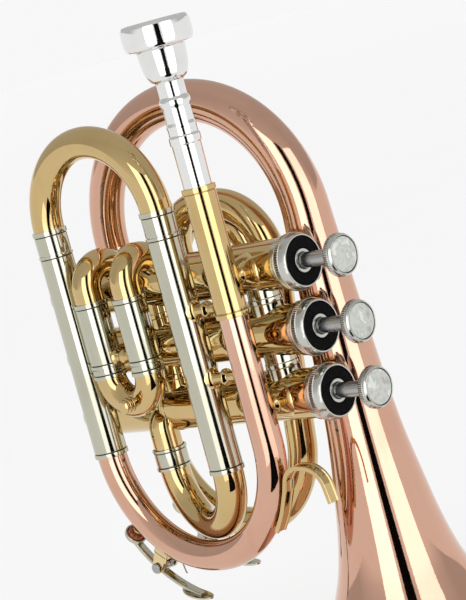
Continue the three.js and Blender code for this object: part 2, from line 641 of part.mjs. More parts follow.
function lowerBow() {
  const down = Z.clone().negate();
  const start = at(MAIN_SLIDE.rightX, FRONT_Y, 0);
  const end = at(LOWER_BOW.inletX, LOWER_BOW.inletY, 0);
  const edge = FIT.chamfer;
  const startKnots = [
    [-LOWER_BOW.top, TUBE.radius], [-MAIN_SLIDE.rightBottom, TUBE.radius],
    [-LOWER_BOW.springZ + edge, LOWER_BOW.radius],
  ];
  const endKnots = [[-LOWER_BOW.inletTop, LOWER_BOW.radius], [-LOWER_BOW.springZ + edge, LOWER_BOW.radius]];
  return swept(hollowed(bentU(start, end, down, startKnots, endKnots), TUBE.wall));
}

function sideSlide(left, right, out, legLength, spring) {
  const leg = {
    length: legLength, radius: SIDE_TUBE.radius, ferrule: SIDE_TUBE.ferruleLength,
    ferruleRadius: SIDE_SLEEVE, bow: SIDE_TUBE.bowRadius, spring: SIDE_TUBE.ferruleLength + spring,
  };
  return slideStations(left, right, out, leg);
}

function firstSlide() {
  const down = Z.clone().negate();
  const ends = [FIRST.leftX, FIRST.rightX].map((x) => at(x, FIRST.y, FIRST.mouth));
  const length = FIRST.top - SIDE_TUBE.grip - FIT.running - FIRST.mouth - SIDE_TUBE.grip / 2;
  const stations = sideSlide(...ends, down, length, 0);
  const bend = (FIRST.rightX - FIRST.leftX) / 2;
  const bow = { x: FIRST.leftX + bend, y: FIRST.y, z: FIRST.mouth - SIDE_TUBE.ferruleLength };
  const face = SIDE_TUBE.bowRadius + KNOB.length;
  const shoulder = SIDE_TUBE.bowRadius + KNOB.neck;
  const knob = turned([
    [0, 0], [KNOB.post, 0], [KNOB.post, shoulder], [KNOB.radius, shoulder],
    [KNOB.radius, face - KNOB.edge], [KNOB.radius - KNOB.edge, face], [0, face],
  ], onBow(bow, KNOB.degrees, bend), Y.clone().negate(), DETAIL.rod);
  const bore = swept(swollen(stations, SIDE_TUBE.radius - TUBE.wall));
  return slideSolid(stations, SIDE_TUBE.radius).add(knob.subtract(bore));
}

function rootBell() {
  const height = BELL.bowSpring - BELL.rimZ;
  const bead = BELL.beadRadius;
  const [lipHeightShare, lipDepthShare] = BELL_LIP_SHARES;
  const lip = [BELL.rimZ + bead * lipHeightShare, BELL.rimRadius - bead * lipDepthShare];
  const knots = [lip, ...BELL_FLARE_SHARES.map(([heightShare, radiusShare]) =>
    [BELL.rimZ + heightShare * height, mix(BELL.throatRadius, BELL.rimRadius, radiusShare)])];
  const endKnots = [[BELL.tailEnd, BELL.tailRadius], [BELL.bowSpring, BELL.tailRadius]];
  const tube = bentU(at(BELL.x, BELL.y, 0), at(BELL.tailX, BELL.tailY, 0), Z, knots, endKnots);
  const beadProfile = Array.from({ length: DETAIL.rod }, (_, i) => {
    const angle = ((i + 0.5) / DETAIL.rod) * Math.PI * 2;
    return [BELL.rimRadius + bead * Math.cos(angle), BELL.rimZ + bead * Math.sin(angle)];
  });
  const rim = turned(beadProfile, at(BELL.x, BELL.y, 0), Z, DETAIL.bell);
  return swept(hollowed(tube, BELL.wall), DETAIL.bell).add(rim);
}

function tailFerrule() {
  const [big, small] = [BELL.tailRadius + FIT.seat, TUBE.radius + FIT.seat];
  const outside = big + TUBE.wall;
  const edge = FIT.chamfer;
  return turned([
    [small, TAIL_FERRULE.bottom], [outside, TAIL_FERRULE.bottom], [outside, TAIL_FERRULE.top],
    [big, TAIL_FERRULE.top], [big, BELL.tailEnd - edge], [small, BELL.tailEnd - FIT.seat - edge],
  ], at(BELL.tailX, BELL.tailY, 0), Z);
}

function wrapTube() {
  const corners = [
    at(BELL.tailX, BELL.tailY, BELL.tailEnd - FIT.seat * 2), at(BELL.tailX, BELL.tailY, WRAP.bottomZ),
    at(WRAP.cornerX, BELL.tailY, WRAP.bottomZ), at(WRAP.endX, WRAP.endY, WRAP.endZ),
  ];
  const tube = swept(hollowed(filleted(corners, [WRAP.bend, WRAP.bend], TUBE.radius), TUBE.wall));
  return withNipple(tube, WRAP_BOW, KEY_ANGLES[1].cork);
}

function rearCrook() {
  const corners = [
    at(WRAP.endX, WRAP.endY, WRAP.endZ + FIT.seat), at(CROOK.topX, WRAP.endY, CROOK.topZ),
    at(CROOK.leftX, WRAP.endY, CROOK.topZ), at(CROOK.leftX, WRAP.endY, 0),
    at(CROOK.leftX, CROOK.end, 0),
  ];
  const bends = [CROOK.rightBend, CROOK.leftBend, CROOK.endBend];
  return swept(hollowed(filleted(corners, bends, TUBE.radius, DETAIL.knuckleArc), TUBE.wall));
}

// A brace: a turned post between two tubes with a curved flange on the first and a foot on
// the second. A tube is given by a point on its axis, the axis and its radius.
function brace(first, second, post, flange) {
  const way = second.place.clone().sub(first.place);
  const length = way.length();
  const axis = way.normalize();
  const middle = (first.radius + length - second.radius) / 2;
  const half = BRACE.bead - post;
  const shaft = turned([
    [0, first.radius / 2], [post, first.radius / 2], [post, middle - half], [BRACE.bead, middle],
    [post, middle + half], [post, length - second.radius / 2], [0, length - second.radius / 2],
  ], first.place, axis, DETAIL.rod);
  const cylinder = (tube, radius) =>
    rod(radius, -flange * 2, flange * 2, tube.place, tube.axis, DETAIL.valve);
  const plate = rod(flange, 0, length, first.place, axis, DETAIL.valve)
    .intersect(cylinder(first, first.radius + FIT.seat + BRACE.plate));
  const foot = rod(BRACE.bead, 0, length, first.place, axis)
    .intersect(cylinder(second, second.radius + FIT.seat + BRACE.plate));
  return without(union([shaft, plate, foot]), [
    cylinder(first, first.radius + FIT.seat), cylinder(second, second.radius + FIT.seat),
  ]);
}

const casingTube = (x, index) => ({
  place: at(x, 0, -VALVE.pitch * index), axis: X, radius: VALVE.casingRadius,
});
const frontTube = (x, z, radius) => ({ place: at(x, FRONT_Y, z), axis: Z, radius });

// The bell's radius at a height, between the two flare shares round it.
function bellRadiusAt(z) {
  const share = (z - BELL.rimZ) / (BELL.bowSpring - BELL.rimZ);
  const over = BELL_FLARE_SHARES.findIndex(([heightShare]) => heightShare > share);
  const [[low, lowRadius], [high, highRadius]] = BELL_FLARE_SHARES.slice(over - 1, over + 1);
  const radiusShare = mix(lowRadius, highRadius, (share - low) / (high - low));
  return mix(BELL.throatRadius, BELL.rimRadius, radiusShare);
}

function bellBrace(index) {
  const z = -VALVE.pitch * index;
  const second = { place: at(BELL.x, BELL.y, z), axis: Z, radius: bellRadiusAt(z - BRACE.bead) };
  return brace(casingTube(BELL.x, index), second, BRACE.rod, BRACE.bellFlange);
}

// The first valve's two sleeves, the bar between them and its post to the middle casing.
function firstSleeves() {
  const pair = [FIRST.leftX, FIRST.rightX].map((x) =>
    sleeve(at(x, FIRST.y, 0), Z, FIRST.mouth, FIRST.top, SIDE_BORE));
  const bar = rod(FIRST_BRACE.rod, FIRST.leftX, FIRST.rightX, at(0, FIRST.y, FIRST_BRACE.z), X);
  const post = rod(FIRST_BRACE.rod, FIRST.y, 0, at(FIRST_BRACE.x, 0, FIRST_BRACE.z), Y);
  const second = { place: at(FIRST_BRACE.x, 0, -VALVE.pitch), axis: X };
  const reach = FIRST_BRACE.flange * 2;
  const cylinder = (radius) => rod(radius, -reach, reach, second.place, X, DETAIL.valve);
  const clear = VALVE.casingRadius + VALVE.ringProud + FIT.seat;
  const inner = -VALVE.casingRadius * FIRST_BRACE.wrapShare;
  const plate = rod(FIRST_BRACE.flange, FIRST.y, inner, at(FIRST_BRACE.x, 0, FIRST_BRACE.z), Y, DETAIL.valve)
    .intersect(cylinder(clear + BRACE.plate));
  const bores = [FIRST.leftX, FIRST.rightX].map((x) =>
    rod(SIDE_BORE, FIRST.mouth - FIT.overrun, FIRST.top + FIT.overrun, at(x, FIRST.y, 0), Z, DETAIL.tube));
  return without(union([...pair, bar, post, plate]), [cylinder(clear), ...bores]);
}

function thirdSleeves() {
  const foot = THIRD_Z + THIRD.sleeveRise;
  const pair = [THIRD.leftX, THIRD.rightX].map((x) =>
    sleeve(at(x, THIRD.y, 0), Z, foot, THIRD.mouth, SIDE_BORE));
  const bar = rod(THIRD.barRadius, THIRD.leftX, THIRD.rightX, at(0, THIRD.y, THIRD.barZ), X);
  const bores = [THIRD.leftX, THIRD.rightX].map((x) =>
    rod(SIDE_BORE, foot - FIT.overrun, THIRD.mouth + FIT.overrun, at(x, THIRD.y, 0), Z, DETAIL.tube));
  return without(union([...pair, bar]), bores);
}

// A strip of even width bent along corners in the plane of X and Z.
function fingerHook() {
  const clear = FRONT_BOW.bend + TUBE.radius + FIT.seat + HOOK.thickness;
  const corners = [
    ...[HOOK.footDegrees, HOOK.middleDegrees, HOOK.leaveDegrees].map(
      (degrees) => onBow(FRONT_BOW, degrees, clear),
    ),
    at(HOOK.kneeX, FRONT_Y, HOOK.kneeZ), at(HOOK.farX, FRONT_Y, HOOK.farZ),
    at(HOOK.tipX, FRONT_Y, HOOK.tipZ),
  ];
  const bends = [clear / 2, HOOK.bend, HOOK.bend, HOOK.bend];
  const middle = filleted(corners, bends, 1, DETAIL.knuckleArc);
  const half = HOOK.thickness / 2;
  const edge = (sign) => middle.map(({ place, along }) => {
    const side = along.clone().cross(Y).multiplyScalar(sign * half);
    return new THREE.Vector2(place.x + side.x, place.z + side.z);
  });
  const shape = new THREE.Shape([...edge(1), ...edge(-1).reverse()]);
  return slab(shape, HOOK.width, FRONT_Y);
}

// A flat outline in X and Z given a width along Y, centred on a place along Y.
function slab(shape, width, y) {
  const geometry = new THREE.ExtrudeGeometry(shape, { depth: width, bevelEnabled: false });
  geometry.rotateX(Math.PI / 2);
  geometry.translate(0, y + width / 2, 0);
  return solidOf(geometry);
}

// A box whose own axes are a bow's outward way, Y and the way round the bow.
function blockOnBow(bow, degrees, from, to, length, width) {
  const geometry = new THREE.BoxGeometry(to - from, width, length);
  geometry.rotateY(-THREE.MathUtils.degToRad(degrees));
  const middle = onBow(bow, degrees, (from + to) / 2);
  geometry.translate(middle.x, middle.y, middle.z);
  return solidOf(geometry);
}

// The pieces of one water key, round a bow at the angles given.
function waterKey(number, bow, angles) {
  const surface = bow.bend + bow.radius;
  const corkFoot = surface + KEY.nipple + FIT.seat;
  const corkTop = corkFoot + KEY.corkDepth;
  const roof = corkTop + FIT.seat;
  const bandFoot = roof + KEY.cupRoof / 2;
  const bandTop = bandFoot + KEY.bandDepth;
  const pivot = onBow(bow, angles.pivot, surface + KEY.pivotHeight);
  const half = KEY.bandWidth / 2;
  const nearLug = -half - FIT.running - KEY.lugThickness;
  const farLug = half + KEY.springSpace;
  const centre = at(bow.x, bow.y, bow.z);
  const cupOut = outwardAt(angles.cork);

  const bandEdge = (distance) => Array.from({ length: DETAIL.arc + 1 }, (_, i) => {
    const share = i / DETAIL.arc;
    const reach = distance + KEY.lift * share;
    const place = onBow(bow, mix(angles.cork, angles.thumb, share), reach);
    return new THREE.Vector2(place.x, place.z);
  });
  const outline = new THREE.Shape([...bandEdge(bandTop), ...bandEdge(bandFoot).reverse()]);
  const band = slab(outline, KEY.bandWidth, bow.y);
  const hub = rod(KEY.hubRadius, -half, half, pivot, Y);
  const cupRadius = KEY.corkRadius + FIT.seat + KEY.cupWall;
  const cup = turned([
    [0, roof], [KEY.corkRadius + FIT.seat, roof], [KEY.corkRadius + FIT.seat, corkTop - KEY.corkDepth / 2],
    [cupRadius, corkTop - KEY.corkDepth / 2], [cupRadius, roof + KEY.cupRoof], [0, roof + KEY.cupRoof],
  ], centre, cupOut);
  const rise = KEY.lift + FIT.chamfer;
  const [low, high] = [bandFoot + rise, bandTop + rise];
  const thumb = blockOnBow(bow, angles.thumb, low, high, KEY.thumbLength, KEY.thumbWidth);
  const hole = rod(KEY.pinRadius + FIT.running, nearLug - FIT.overrun, farLug + FIT.overrun * 2, pivot, Y);
  const lever = union([band, hub, cup, thumb]).subtract(hole);

  const cork = rod(KEY.corkRadius, corkFoot, corkTop, centre, cupOut);

  const lug = (from) => rod(KEY.lugRadius, from, from + KEY.lugThickness, pivot, Y)
    .add(lugBlock(bow, angles.pivot, surface, pivot, from));
  const baseWidth = farLug + KEY.lugThickness - nearLug;
  const [baseFoot, baseTop] = [surface - bow.radius / 2, surface + KEY.baseHeight];
  const base = blockOnBow(bow, angles.pivot, baseFoot, baseTop, KEY.baseLength, baseWidth);
  const shift = (nearLug + farLug + KEY.lugThickness) / 2;
  const [before, after] = [angles.pivot - KEY.baseSpan, angles.pivot + KEY.baseSpan];
  const seatCut = bowTube(bow, before, after, bow.radius + FIT.seat);
  const saddle = without(
    union([base.translate([0, shift, 0]), lug(nearLug), lug(farLug)]), [seatCut, hole],
  );

  const pin = turned([
    [0, nearLug - FIT.seat - KEY.headDepth], [KEY.headRadius, nearLug - FIT.seat - KEY.headDepth],
    [KEY.headRadius, nearLug - FIT.seat], [KEY.pinRadius, nearLug - FIT.seat],
    [KEY.pinRadius, farLug + KEY.lugThickness], [0, farLug + KEY.lugThickness],
  ], pivot, Y, DETAIL.rod);
  const [coilFoot, coilTop] = [half + FIT.seat + KEY.wire, farLug - FIT.seat - KEY.wire];
  const spring = coil(KEY.coilRadius, KEY.wire, KEY.coilTurns, coilFoot, coilTop, pivot, Y);
  return [
    piece(`water_key_lever_${number}`, FINISH.nickel, lever),
    piece(`water_key_cork_${number}`, FINISH.cork, cork),
    piece(`water_key_saddle_${number}`, FINISH.brass, saddle),
    piece(`water_key_pin_${number}`, FINISH.steel, pin),
    piece(`water_key_spring_${number}`, FINISH.steel, spring),
  ];
}

// The upright of a saddle's lug, from the base to the pivot.
function lugBlock(bow, degrees, surface, pivot, from) {
  const upright = blockOnBow(
    bow, degrees, surface, surface + KEY.pivotHeight, KEY.lugRadius * 2, KEY.lugThickness,
  );
  return upright.translate([0, from + KEY.lugThickness / 2, 0]);
}

function instrument() {
  const body = new THREE.Group();
  for (let index = 0; index < VALVE.count; index += 1) body.add(valve(index));
  const { brass, rose, nickel, silver } = FINISH;
  const mainSleeve = (x, from) => sleeve(at(x, FRONT_Y, 0), Z, from, MAIN_SLIDE.top, SLEEVE_BORE);
  const secondEnds = [SECOND.leftX, SECOND.rightX].map((x) => at(x, SECOND.mouth, -VALVE.pitch));
  const thirdEnds = [THIRD.leftX, THIRD.rightX].map((x) => at(x, THIRD.y, THIRD.mouth));
  const secondSlide = sideSlide(...secondEnds, Y, SECOND.mouth - SECOND.legEnd, 0);
  const thirdSlide = sideSlide(...thirdEnds, Z, THIRD.mouth - THIRD.legEnd, THIRD.spring);
  const pipeAt = (z) => mix(LEADPIPE.topRadius, LEADPIPE.middleRadius, z / LEADPIPE.middleZ);
  const inletAt = at(LOWER_BOW.inletX, LOWER_BOW.inletY, 0);
  const lowBrace = frontTube(MOUTHPIECE.x, THIRD_Z, pipeAt(THIRD_Z));
  body.add(
    piece("mouthpiece", silver, mouthpiece()),
    piece("receiver", brass, receiver()),
    piece("leadpipe", rose, leadpipe()),
    piece("tuning_sleeve_left", nickel, mainSleeve(LEADPIPE.leftX, MAIN_SLIDE.leftBottom)),
    piece("tuning_sleeve_right", nickel, mainSleeve(MAIN_SLIDE.rightX, MAIN_SLIDE.rightBottom)),
    piece("tuning_slide", brass, mainSlide()),
    piece("lower_bow", brass, lowerBow()),
    piece("inlet_ferrule", nickel, sleeve(
      inletAt, Z, INLET.ferruleBottom, INLET.ferruleTop, LOWER_BOW.radius + FIT.seat,
    )),
    piece("first_sleeves", nickel, firstSleeves()),
    piece("first_slide", brass, firstSlide()),
    piece("second_slide", brass, slideSolid(secondSlide, SIDE_TUBE.radius)),
    piece("third_sleeves", nickel, thirdSleeves()),
    piece("third_slide", brass, slideSolid(thirdSlide, SIDE_TUBE.radius)),
    piece("bell", rose, rootBell()),
    piece("tail_ferrule", nickel, tailFerrule()),
    piece("wrap_tube", brass, wrapTube()),
    piece("rear_crook", brass, rearCrook()),
    piece("leadpipe_brace_1", brass, brace(
      casingTube(MOUTHPIECE.x, 0), frontTube(MOUTHPIECE.x, 0, RECEIVER.radius), BRACE.rod, BRACE.flange,
    )),
    piece("leadpipe_brace_3", brass, brace(
      casingTube(MOUTHPIECE.x, 2), lowBrace, BRACE.rod, BRACE.flange,
    )),
    piece("finger_hook", brass, fingerHook()),
  );
  MAIN_BRACE_PLACES.forEach((z, i) => {
    const left = frontTube(MAIN_SLIDE.rightX, z, SLEEVE_RADIUS);
    const right = frontTube(MOUTHPIECE.x, z, i === 0 ? RECEIVER.radius + TUBE.ringProud : pipeAt(z));
    body.add(piece(`slide_brace_${i + 1}`, brass, brace(left, right, BRACE.rod, BRACE.bead)));
  });
  BELL_BRACE_PLACES.forEach((index) => {
    body.add(piece(`bell_brace_${index + 1}`, brass, bellBrace(index)));
  });
  const leftLeg = frontTube(LEADPIPE.leftX, SLEEVE_BRACE.z, SLEEVE_RADIUS);
  body.add(piece("sleeve_brace", brass, brace(
    leftLeg, casingTube(LEADPIPE.leftX, 1), SLEEVE_BRACE.rod, SLEEVE_BRACE.flange,
  )));
  [FRONT_BOW, WRAP_BOW].forEach((bow, i) => body.add(...waterKey(i + 1, bow, KEY_ANGLES[i])));
  return body;
}

// The part's own origin is the middle of its footprint, on the floor.
const part = new THREE.Group();
const body = instrument();
const box = new THREE.Box3().setFromObject(body, true);
const middle = box.getCenter(at(0, 0, 0));
body.position.set(-middle.x, -middle.y, -box.min.z);
part.add(body);

export default part;
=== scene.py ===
import logging
import math
from collections.abc import Callable, Sequence
from dataclasses import dataclass, field
from enum import Enum

import bmesh
import bpy
from mathutils import Matrix, Vector


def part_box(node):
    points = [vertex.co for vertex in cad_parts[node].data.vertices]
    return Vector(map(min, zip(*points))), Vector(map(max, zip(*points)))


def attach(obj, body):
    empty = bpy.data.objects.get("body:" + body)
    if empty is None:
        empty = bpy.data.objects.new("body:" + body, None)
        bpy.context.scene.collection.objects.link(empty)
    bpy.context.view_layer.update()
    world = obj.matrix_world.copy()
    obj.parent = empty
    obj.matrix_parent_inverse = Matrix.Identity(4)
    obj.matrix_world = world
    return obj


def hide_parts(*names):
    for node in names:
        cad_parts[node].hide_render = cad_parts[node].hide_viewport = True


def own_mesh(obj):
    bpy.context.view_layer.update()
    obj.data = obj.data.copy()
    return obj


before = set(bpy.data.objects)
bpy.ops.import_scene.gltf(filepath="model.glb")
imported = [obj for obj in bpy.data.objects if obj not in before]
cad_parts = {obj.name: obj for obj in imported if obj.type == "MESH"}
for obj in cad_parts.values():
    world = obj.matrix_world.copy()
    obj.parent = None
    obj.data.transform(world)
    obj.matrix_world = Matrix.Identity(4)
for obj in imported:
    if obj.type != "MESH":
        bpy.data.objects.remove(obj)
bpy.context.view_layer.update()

LOG = logging.getLogger("pocket_trumpet")
MM = 0.001
WHITE = (1.0, 1.0, 1.0, 1.0)
X = Vector((1, 0, 0))
Y = Vector((0, 1, 0))
Z = Vector((0, 0, 1))


def valve_origin() -> Vector:
    """Gives the centre of the first valve's cap face, where the working frame starts."""
    low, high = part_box("top_cap_1")
    return Vector((high.x, (low.y + high.y) / 2, (low.z + high.z) / 2))


ORIGIN = valve_origin()


# Shader expressions


class Expr:
    """A node socket that can be used in arithmetic."""

    def __init__(self, shader: "Shader", socket: bpy.types.NodeSocket) -> None:
        """Wraps a socket of a shader's node tree."""
        self.shader = shader
        self.socket = socket

    def _math(self, operation: str, *values: "Expr | float") -> "Expr":
        """Adds one Math node and gives its result."""
        return self.shader.node("ShaderNodeMath", {"operation": operation}, dict(enumerate(values)))

    def __add__(self, other: "Expr | float") -> "Expr":
        """Sum."""
        return self._math("ADD", self, other)

    def __radd__(self, other: float) -> "Expr":
        """Sum with a number in front."""
        return self._math("ADD", other, self)

    def __sub__(self, other: "Expr | float") -> "Expr":
        """Difference."""
        return self._math("SUBTRACT", self, other)

    def __rsub__(self, other: float) -> "Expr":
        """Difference from a number in front."""
        return self._math("SUBTRACT", other, self)

    def __mul__(self, other: "Expr | float") -> "Expr":
        """Product."""
        return self._math("MULTIPLY", self, other)

    def __rmul__(self, other: float) -> "Expr":
        """Product with a number in front."""
        return self._math("MULTIPLY", other, self)

    def between(self, low: float, high: float) -> "Expr":
        """Turns a value into a smooth step.

        Args:
            low: Where the step starts; the result is 0 under it.
            high: Where the step ends; the result is 1 over it.

        Returns:
            The step as an expression.
        """
        settings = {"interpolation_type": "SMOOTHSTEP"}
        values = {"Value": self, "From Min": low, "From Max": high}
        return self.shader.node("ShaderNodeMapRange", settings, values)


class Shader:
    """A material's node tree, built up from expressions."""

    MIX_FIRST, MIX_SECOND, MIX_RESULT = 6, 7, 2

    def __init__(self, tree: bpy.types.NodeTree) -> None:
        """Empties a tree and starts afresh in it."""
        self.tree = tree
        tree.nodes.clear()

    def node(self, kind: str, settings: dict, values: dict, output: str | int = 0) -> Expr:
        """Adds one node.

        Args:
            kind: The node's type.
            settings: Its own settings, which are set first.
            values: Numbers, colours or expressions for its sockets, by name or place.
            output: Which of its outputs to give.

        Returns:
            The output as an expression.
        """
        made = self.tree.nodes.new(kind)
        for name, value in settings.items():
            if name == "stops":
                self._set_stops(made.color_ramp, value)
            else:
                setattr(made, name, value)
        for name, value in values.items():
            socket = made.inputs[name]
            if isinstance(value, Expr):
                self.tree.links.new(value.socket, socket)
            else:
                socket.default_value = value
        return Expr(self, made.outputs[output])

    @staticmethod
    def _set_stops(ramp: bpy.types.ColorRamp, stops: Sequence[tuple[float, tuple]]) -> None:
        """Writes a ramp's stops.

        Args:
            ramp: The ramp.
            stops: Its stops, each a place and a colour.
        """
        while len(ramp.elements) < len(stops):
            ramp.elements.new(1.0)
        for element, (place, colour) in zip(ramp.elements, stops):
            element.position = place
            element.color = (*colour, 1.0)

    def place(self) -> Expr:
        """The point on the piece, in metres of the object's own space."""
        return self.node("ShaderNodeTexCoord", {}, {}, "Object")

    def noise(
        self, scale: float, detail: float, stretch: tuple[float, float, float] = (1, 1, 1),
    ) -> Expr:
        """Adds a cloudy noise.

        Args:
            scale: How many waves it has to the metre.
            detail: How many finer layers it has.
            stretch: How the space is scaled before it, along each axis.

        Returns:
            The noise, from 0 to 1.
        """
        spread = self.node(
            "ShaderNodeVectorMath", {"operation": "MULTIPLY"}, {0: self.place(), 1: stretch}
        )
        values = {"Vector": spread, "Scale": scale, "Detail": detail}
        return self.node("ShaderNodeTexNoise", {}, values)

    def blend(self, share: "Expr | float", first: "Expr | tuple", second: "Expr | tuple") -> Expr:
        """Mixes two colours.

        Args:
            share: The second colour's share, from 0 to 1.
            first: The first colour.
            second: The second colour.

        Returns:
            The mixed colour.
        """
        wide = [c if isinstance(c, Expr) else (*c, 1.0) for c in (first, second)]
        values = {"Factor": share, self.MIX_FIRST: wide[0], self.MIX_SECOND: wide[1]}
        return self.node("ShaderNodeMix", {"data_type": "RGBA"}, values, self.MIX_RESULT)

    def bump(self, height: Expr, strength: float, distance: float) -> Expr:
        """A bump normal from a height that runs from 0 to 1 over a distance."""
        values = {"Strength": strength, "Distance": distance, "Height": height}
        return self.node("ShaderNodeBump", {}, values)

    def grey(self, tone: Expr) -> Expr:
        """A grey of a tone."""
        return self.node("ShaderNodeCombineColor", {}, {0: tone, 1: tone, 2: tone})

    def finish(self, sockets: dict) -> None:
        """Closes the tree with one principled shader.

        Args:
            sockets: The values or expressions for the shader's sockets, by name.
        """
        surface = self.node("ShaderNodeBsdfPrincipled", {}, sockets)
        output = self.tree.nodes.new("ShaderNodeOutputMaterial")
        self.tree.links.new(surface.socket, output.inputs["Surface"])


# Finishes


@dataclass(frozen=True)
class Metal:
    """A polished, plated or satin metal with hand marks, a painted highlight on its edges and painted
    shade in its grooves.
    """

    name: str
    slot: str
    colour: tuple[float, float, float]
    worn: tuple[float, float, float]
    # The next two colours are painted light: a highlight on convex edges, and shade in grooves and
    # hollows.
    edge_highlight: tuple[float, float, float]
    groove_shade: tuple[float, float, float]
    roughness: float
    spread: float
    lacquer: float = 0.0
    ripple: float = 0.05
    grain: float = 0.03
    grain_scale: float = 900.0
    ripple_scale: float = 55.0
    haze_scale: float = 28.0
    haze_band: tuple[float, float] = (0.45, 0.75)
    haze_share: float = 0.65
    mark_scale: float = 160.0
    mark_stretch: tuple[float, float, float] = (1, 1, 0.25)
    mark_band: tuple[float, float] = (0.55, 0.7)
    wear_share: float = 0.5
    grain_rough_share: float = 0.2
    # How the painted shade in hollows and the painted highlight on convex edges are masked from the
    # pointiness, and how strongly.
    groove_shade_band: tuple[float, float] = (0.45, 0.492)
    groove_shade_share: float = 0.95
    edge_highlight_band: tuple[float, float] = (0.54, 0.62)
    edge_highlight_share: float = 0.6
    lacquer_roughness: float = 0.06
    bump_strength: float = 0.35
    bump_depth: float = 0.0006

    def build(self, shader: Shader) -> None:
        """Writes the metal's nodes: breath marks, fine polishing grain, a slight ripple, a painted
        highlight on convex edges and painted shade in hollows.

        Args:
            shader: The tree that gets the nodes.
        """
        cloud = shader.noise(self.haze_scale, 3)
        fine = shader.noise(self.grain_scale, 2)
        marks = shader.noise(self.mark_scale, 4, self.mark_stretch)
        haze = cloud.between(*self.haze_band)
        touched = marks.between(*self.mark_band) * (1 - self.haze_share) + haze * self.haze_share
        rough = touched * self.spread + fine * (self.spread * self.grain_rough_share) + self.roughness
        height = fine * self.grain + shader.noise(self.ripple_scale, 1) * self.ripple
        point = shader.node("ShaderNodeNewGeometry", {}, {}, "Pointiness")
        # Concave places, such as groove floors, are darkened towards the shade colour: painted shade.
        groove_shade_mask = (1.0 - point.between(*self.groove_shade_band)) * self.groove_shade_share
        # Convex edges are lightened towards the paler colour: a painted highlight.
        edge = point.between(*self.edge_highlight_band) * self.edge_highlight_share
        colour = shader.blend(touched * self.wear_share, self.colour, self.worn)
        colour = shader.blend(edge, colour, self.edge_highlight)
        shader.finish({
            "Base Color": shader.blend(groove_shade_mask, colour, self.groove_shade),
            "Metallic": 1.0,
            "Roughness": rough,
            "Coat Weight": self.lacquer,
            "Coat Roughness": self.lacquer_roughness,
            "Normal": shader.bump(height, self.bump_strength, self.bump_depth),
        })


@dataclass(frozen=True)
class Nacre:
    """Mother-of-pearl: pale clouds that turn through grey, green and rose."""

    name: str = "pearl"
    slot: str = "pearl"
    stops: tuple[tuple[float, tuple[float, float, float]], ...] = (
        (0.3, (0.30, 0.31, 0.28)), (0.45, (0.47, 0.48, 0.44)), (0.55, (0.38, 0.40, 0.37)),
        (0.65, (0.60, 0.60, 0.56)), (0.8, (0.53, 0.50, 0.47)),
    )
    warp_scale: float = 90.0
    warp_reach: float = 0.01
    cloud_scale: float = 210.0
    cloud_detail: float = 5.0
    roughness: float = 0.16
    spread: float = 0.2
    gloss: float = 0.6
    gloss_roughness: float = 0.08
    bump_strength: float = 0.2
    bump_depth: float = 0.0003

    def build(self, shader: Shader) -> None:
        """Writes the pearl's nodes.

        Args:
            shader: The tree that gets the nodes.
        """
        warp = shader.node(
            "ShaderNodeVectorMath", {"operation": "MULTIPLY_ADD"},
            {0: shader.noise(self.warp_scale, 2), 1: (self.warp_reach,) * 3, 2: shader.place()},
        )
        values = {"Vector": warp, "Scale": self.cloud_scale, "Detail": self.cloud_detail}
        cloud = shader.node("ShaderNodeTexNoise", {}, values)
        shader.finish({
            "Base Color": shader.node("ShaderNodeValToRGB", {"stops": self.stops}, {"Fac": cloud}),
            "Metallic": 0.0,
            "Roughness": cloud * self.spread + self.roughness,
            "Coat Weight": self.gloss,
            "Coat Roughness": self.gloss_roughness,
            "Normal": shader.bump(cloud, self.bump_strength, self.bump_depth),
        })


@dataclass(frozen=True)
class Soft:
    """A dull material with a nap or pores, such as felt or cork."""

    name: str
    slot: str
    colour: tuple[float, float, float]
    dark: tuple[float, float, float]
    scale: float
    depth: float
    pore_ratio: float = 1.6
    pore_share: float = 0.4
    nap_band: tuple[float, float] = (0.35, 0.65)
    roughness: float = 0.85
    spread: float = 0.1
    gleam: float = 0.1
    bump_strength: float = 0.6

    def build(self, shader: Shader) -> None:
        """Writes the nodes of the nap or the pores.

        Args:
            shader: The tree that gets the nodes.
        """
        coarse = shader.noise(self.scale, 6)
        values = {"Vector": shader.place(), "Scale": self.scale * self.pore_ratio}
        pores = shader.node("ShaderNodeTexVoronoi", {}, values)
        mask = coarse.between(*self.nap_band)
        height = coarse * (1 - self.pore_share) + pores * self.pore_share
        shader.finish({
            "Base Color": shader.blend(mask, self.dark, self.colour),
            "Roughness": mask * self.spread + self.roughness,
            "Metallic": 0.0,
            "Specular IOR Level": self.gleam,
            "Normal": shader.bump(height, self.bump_strength, self.depth),
        })


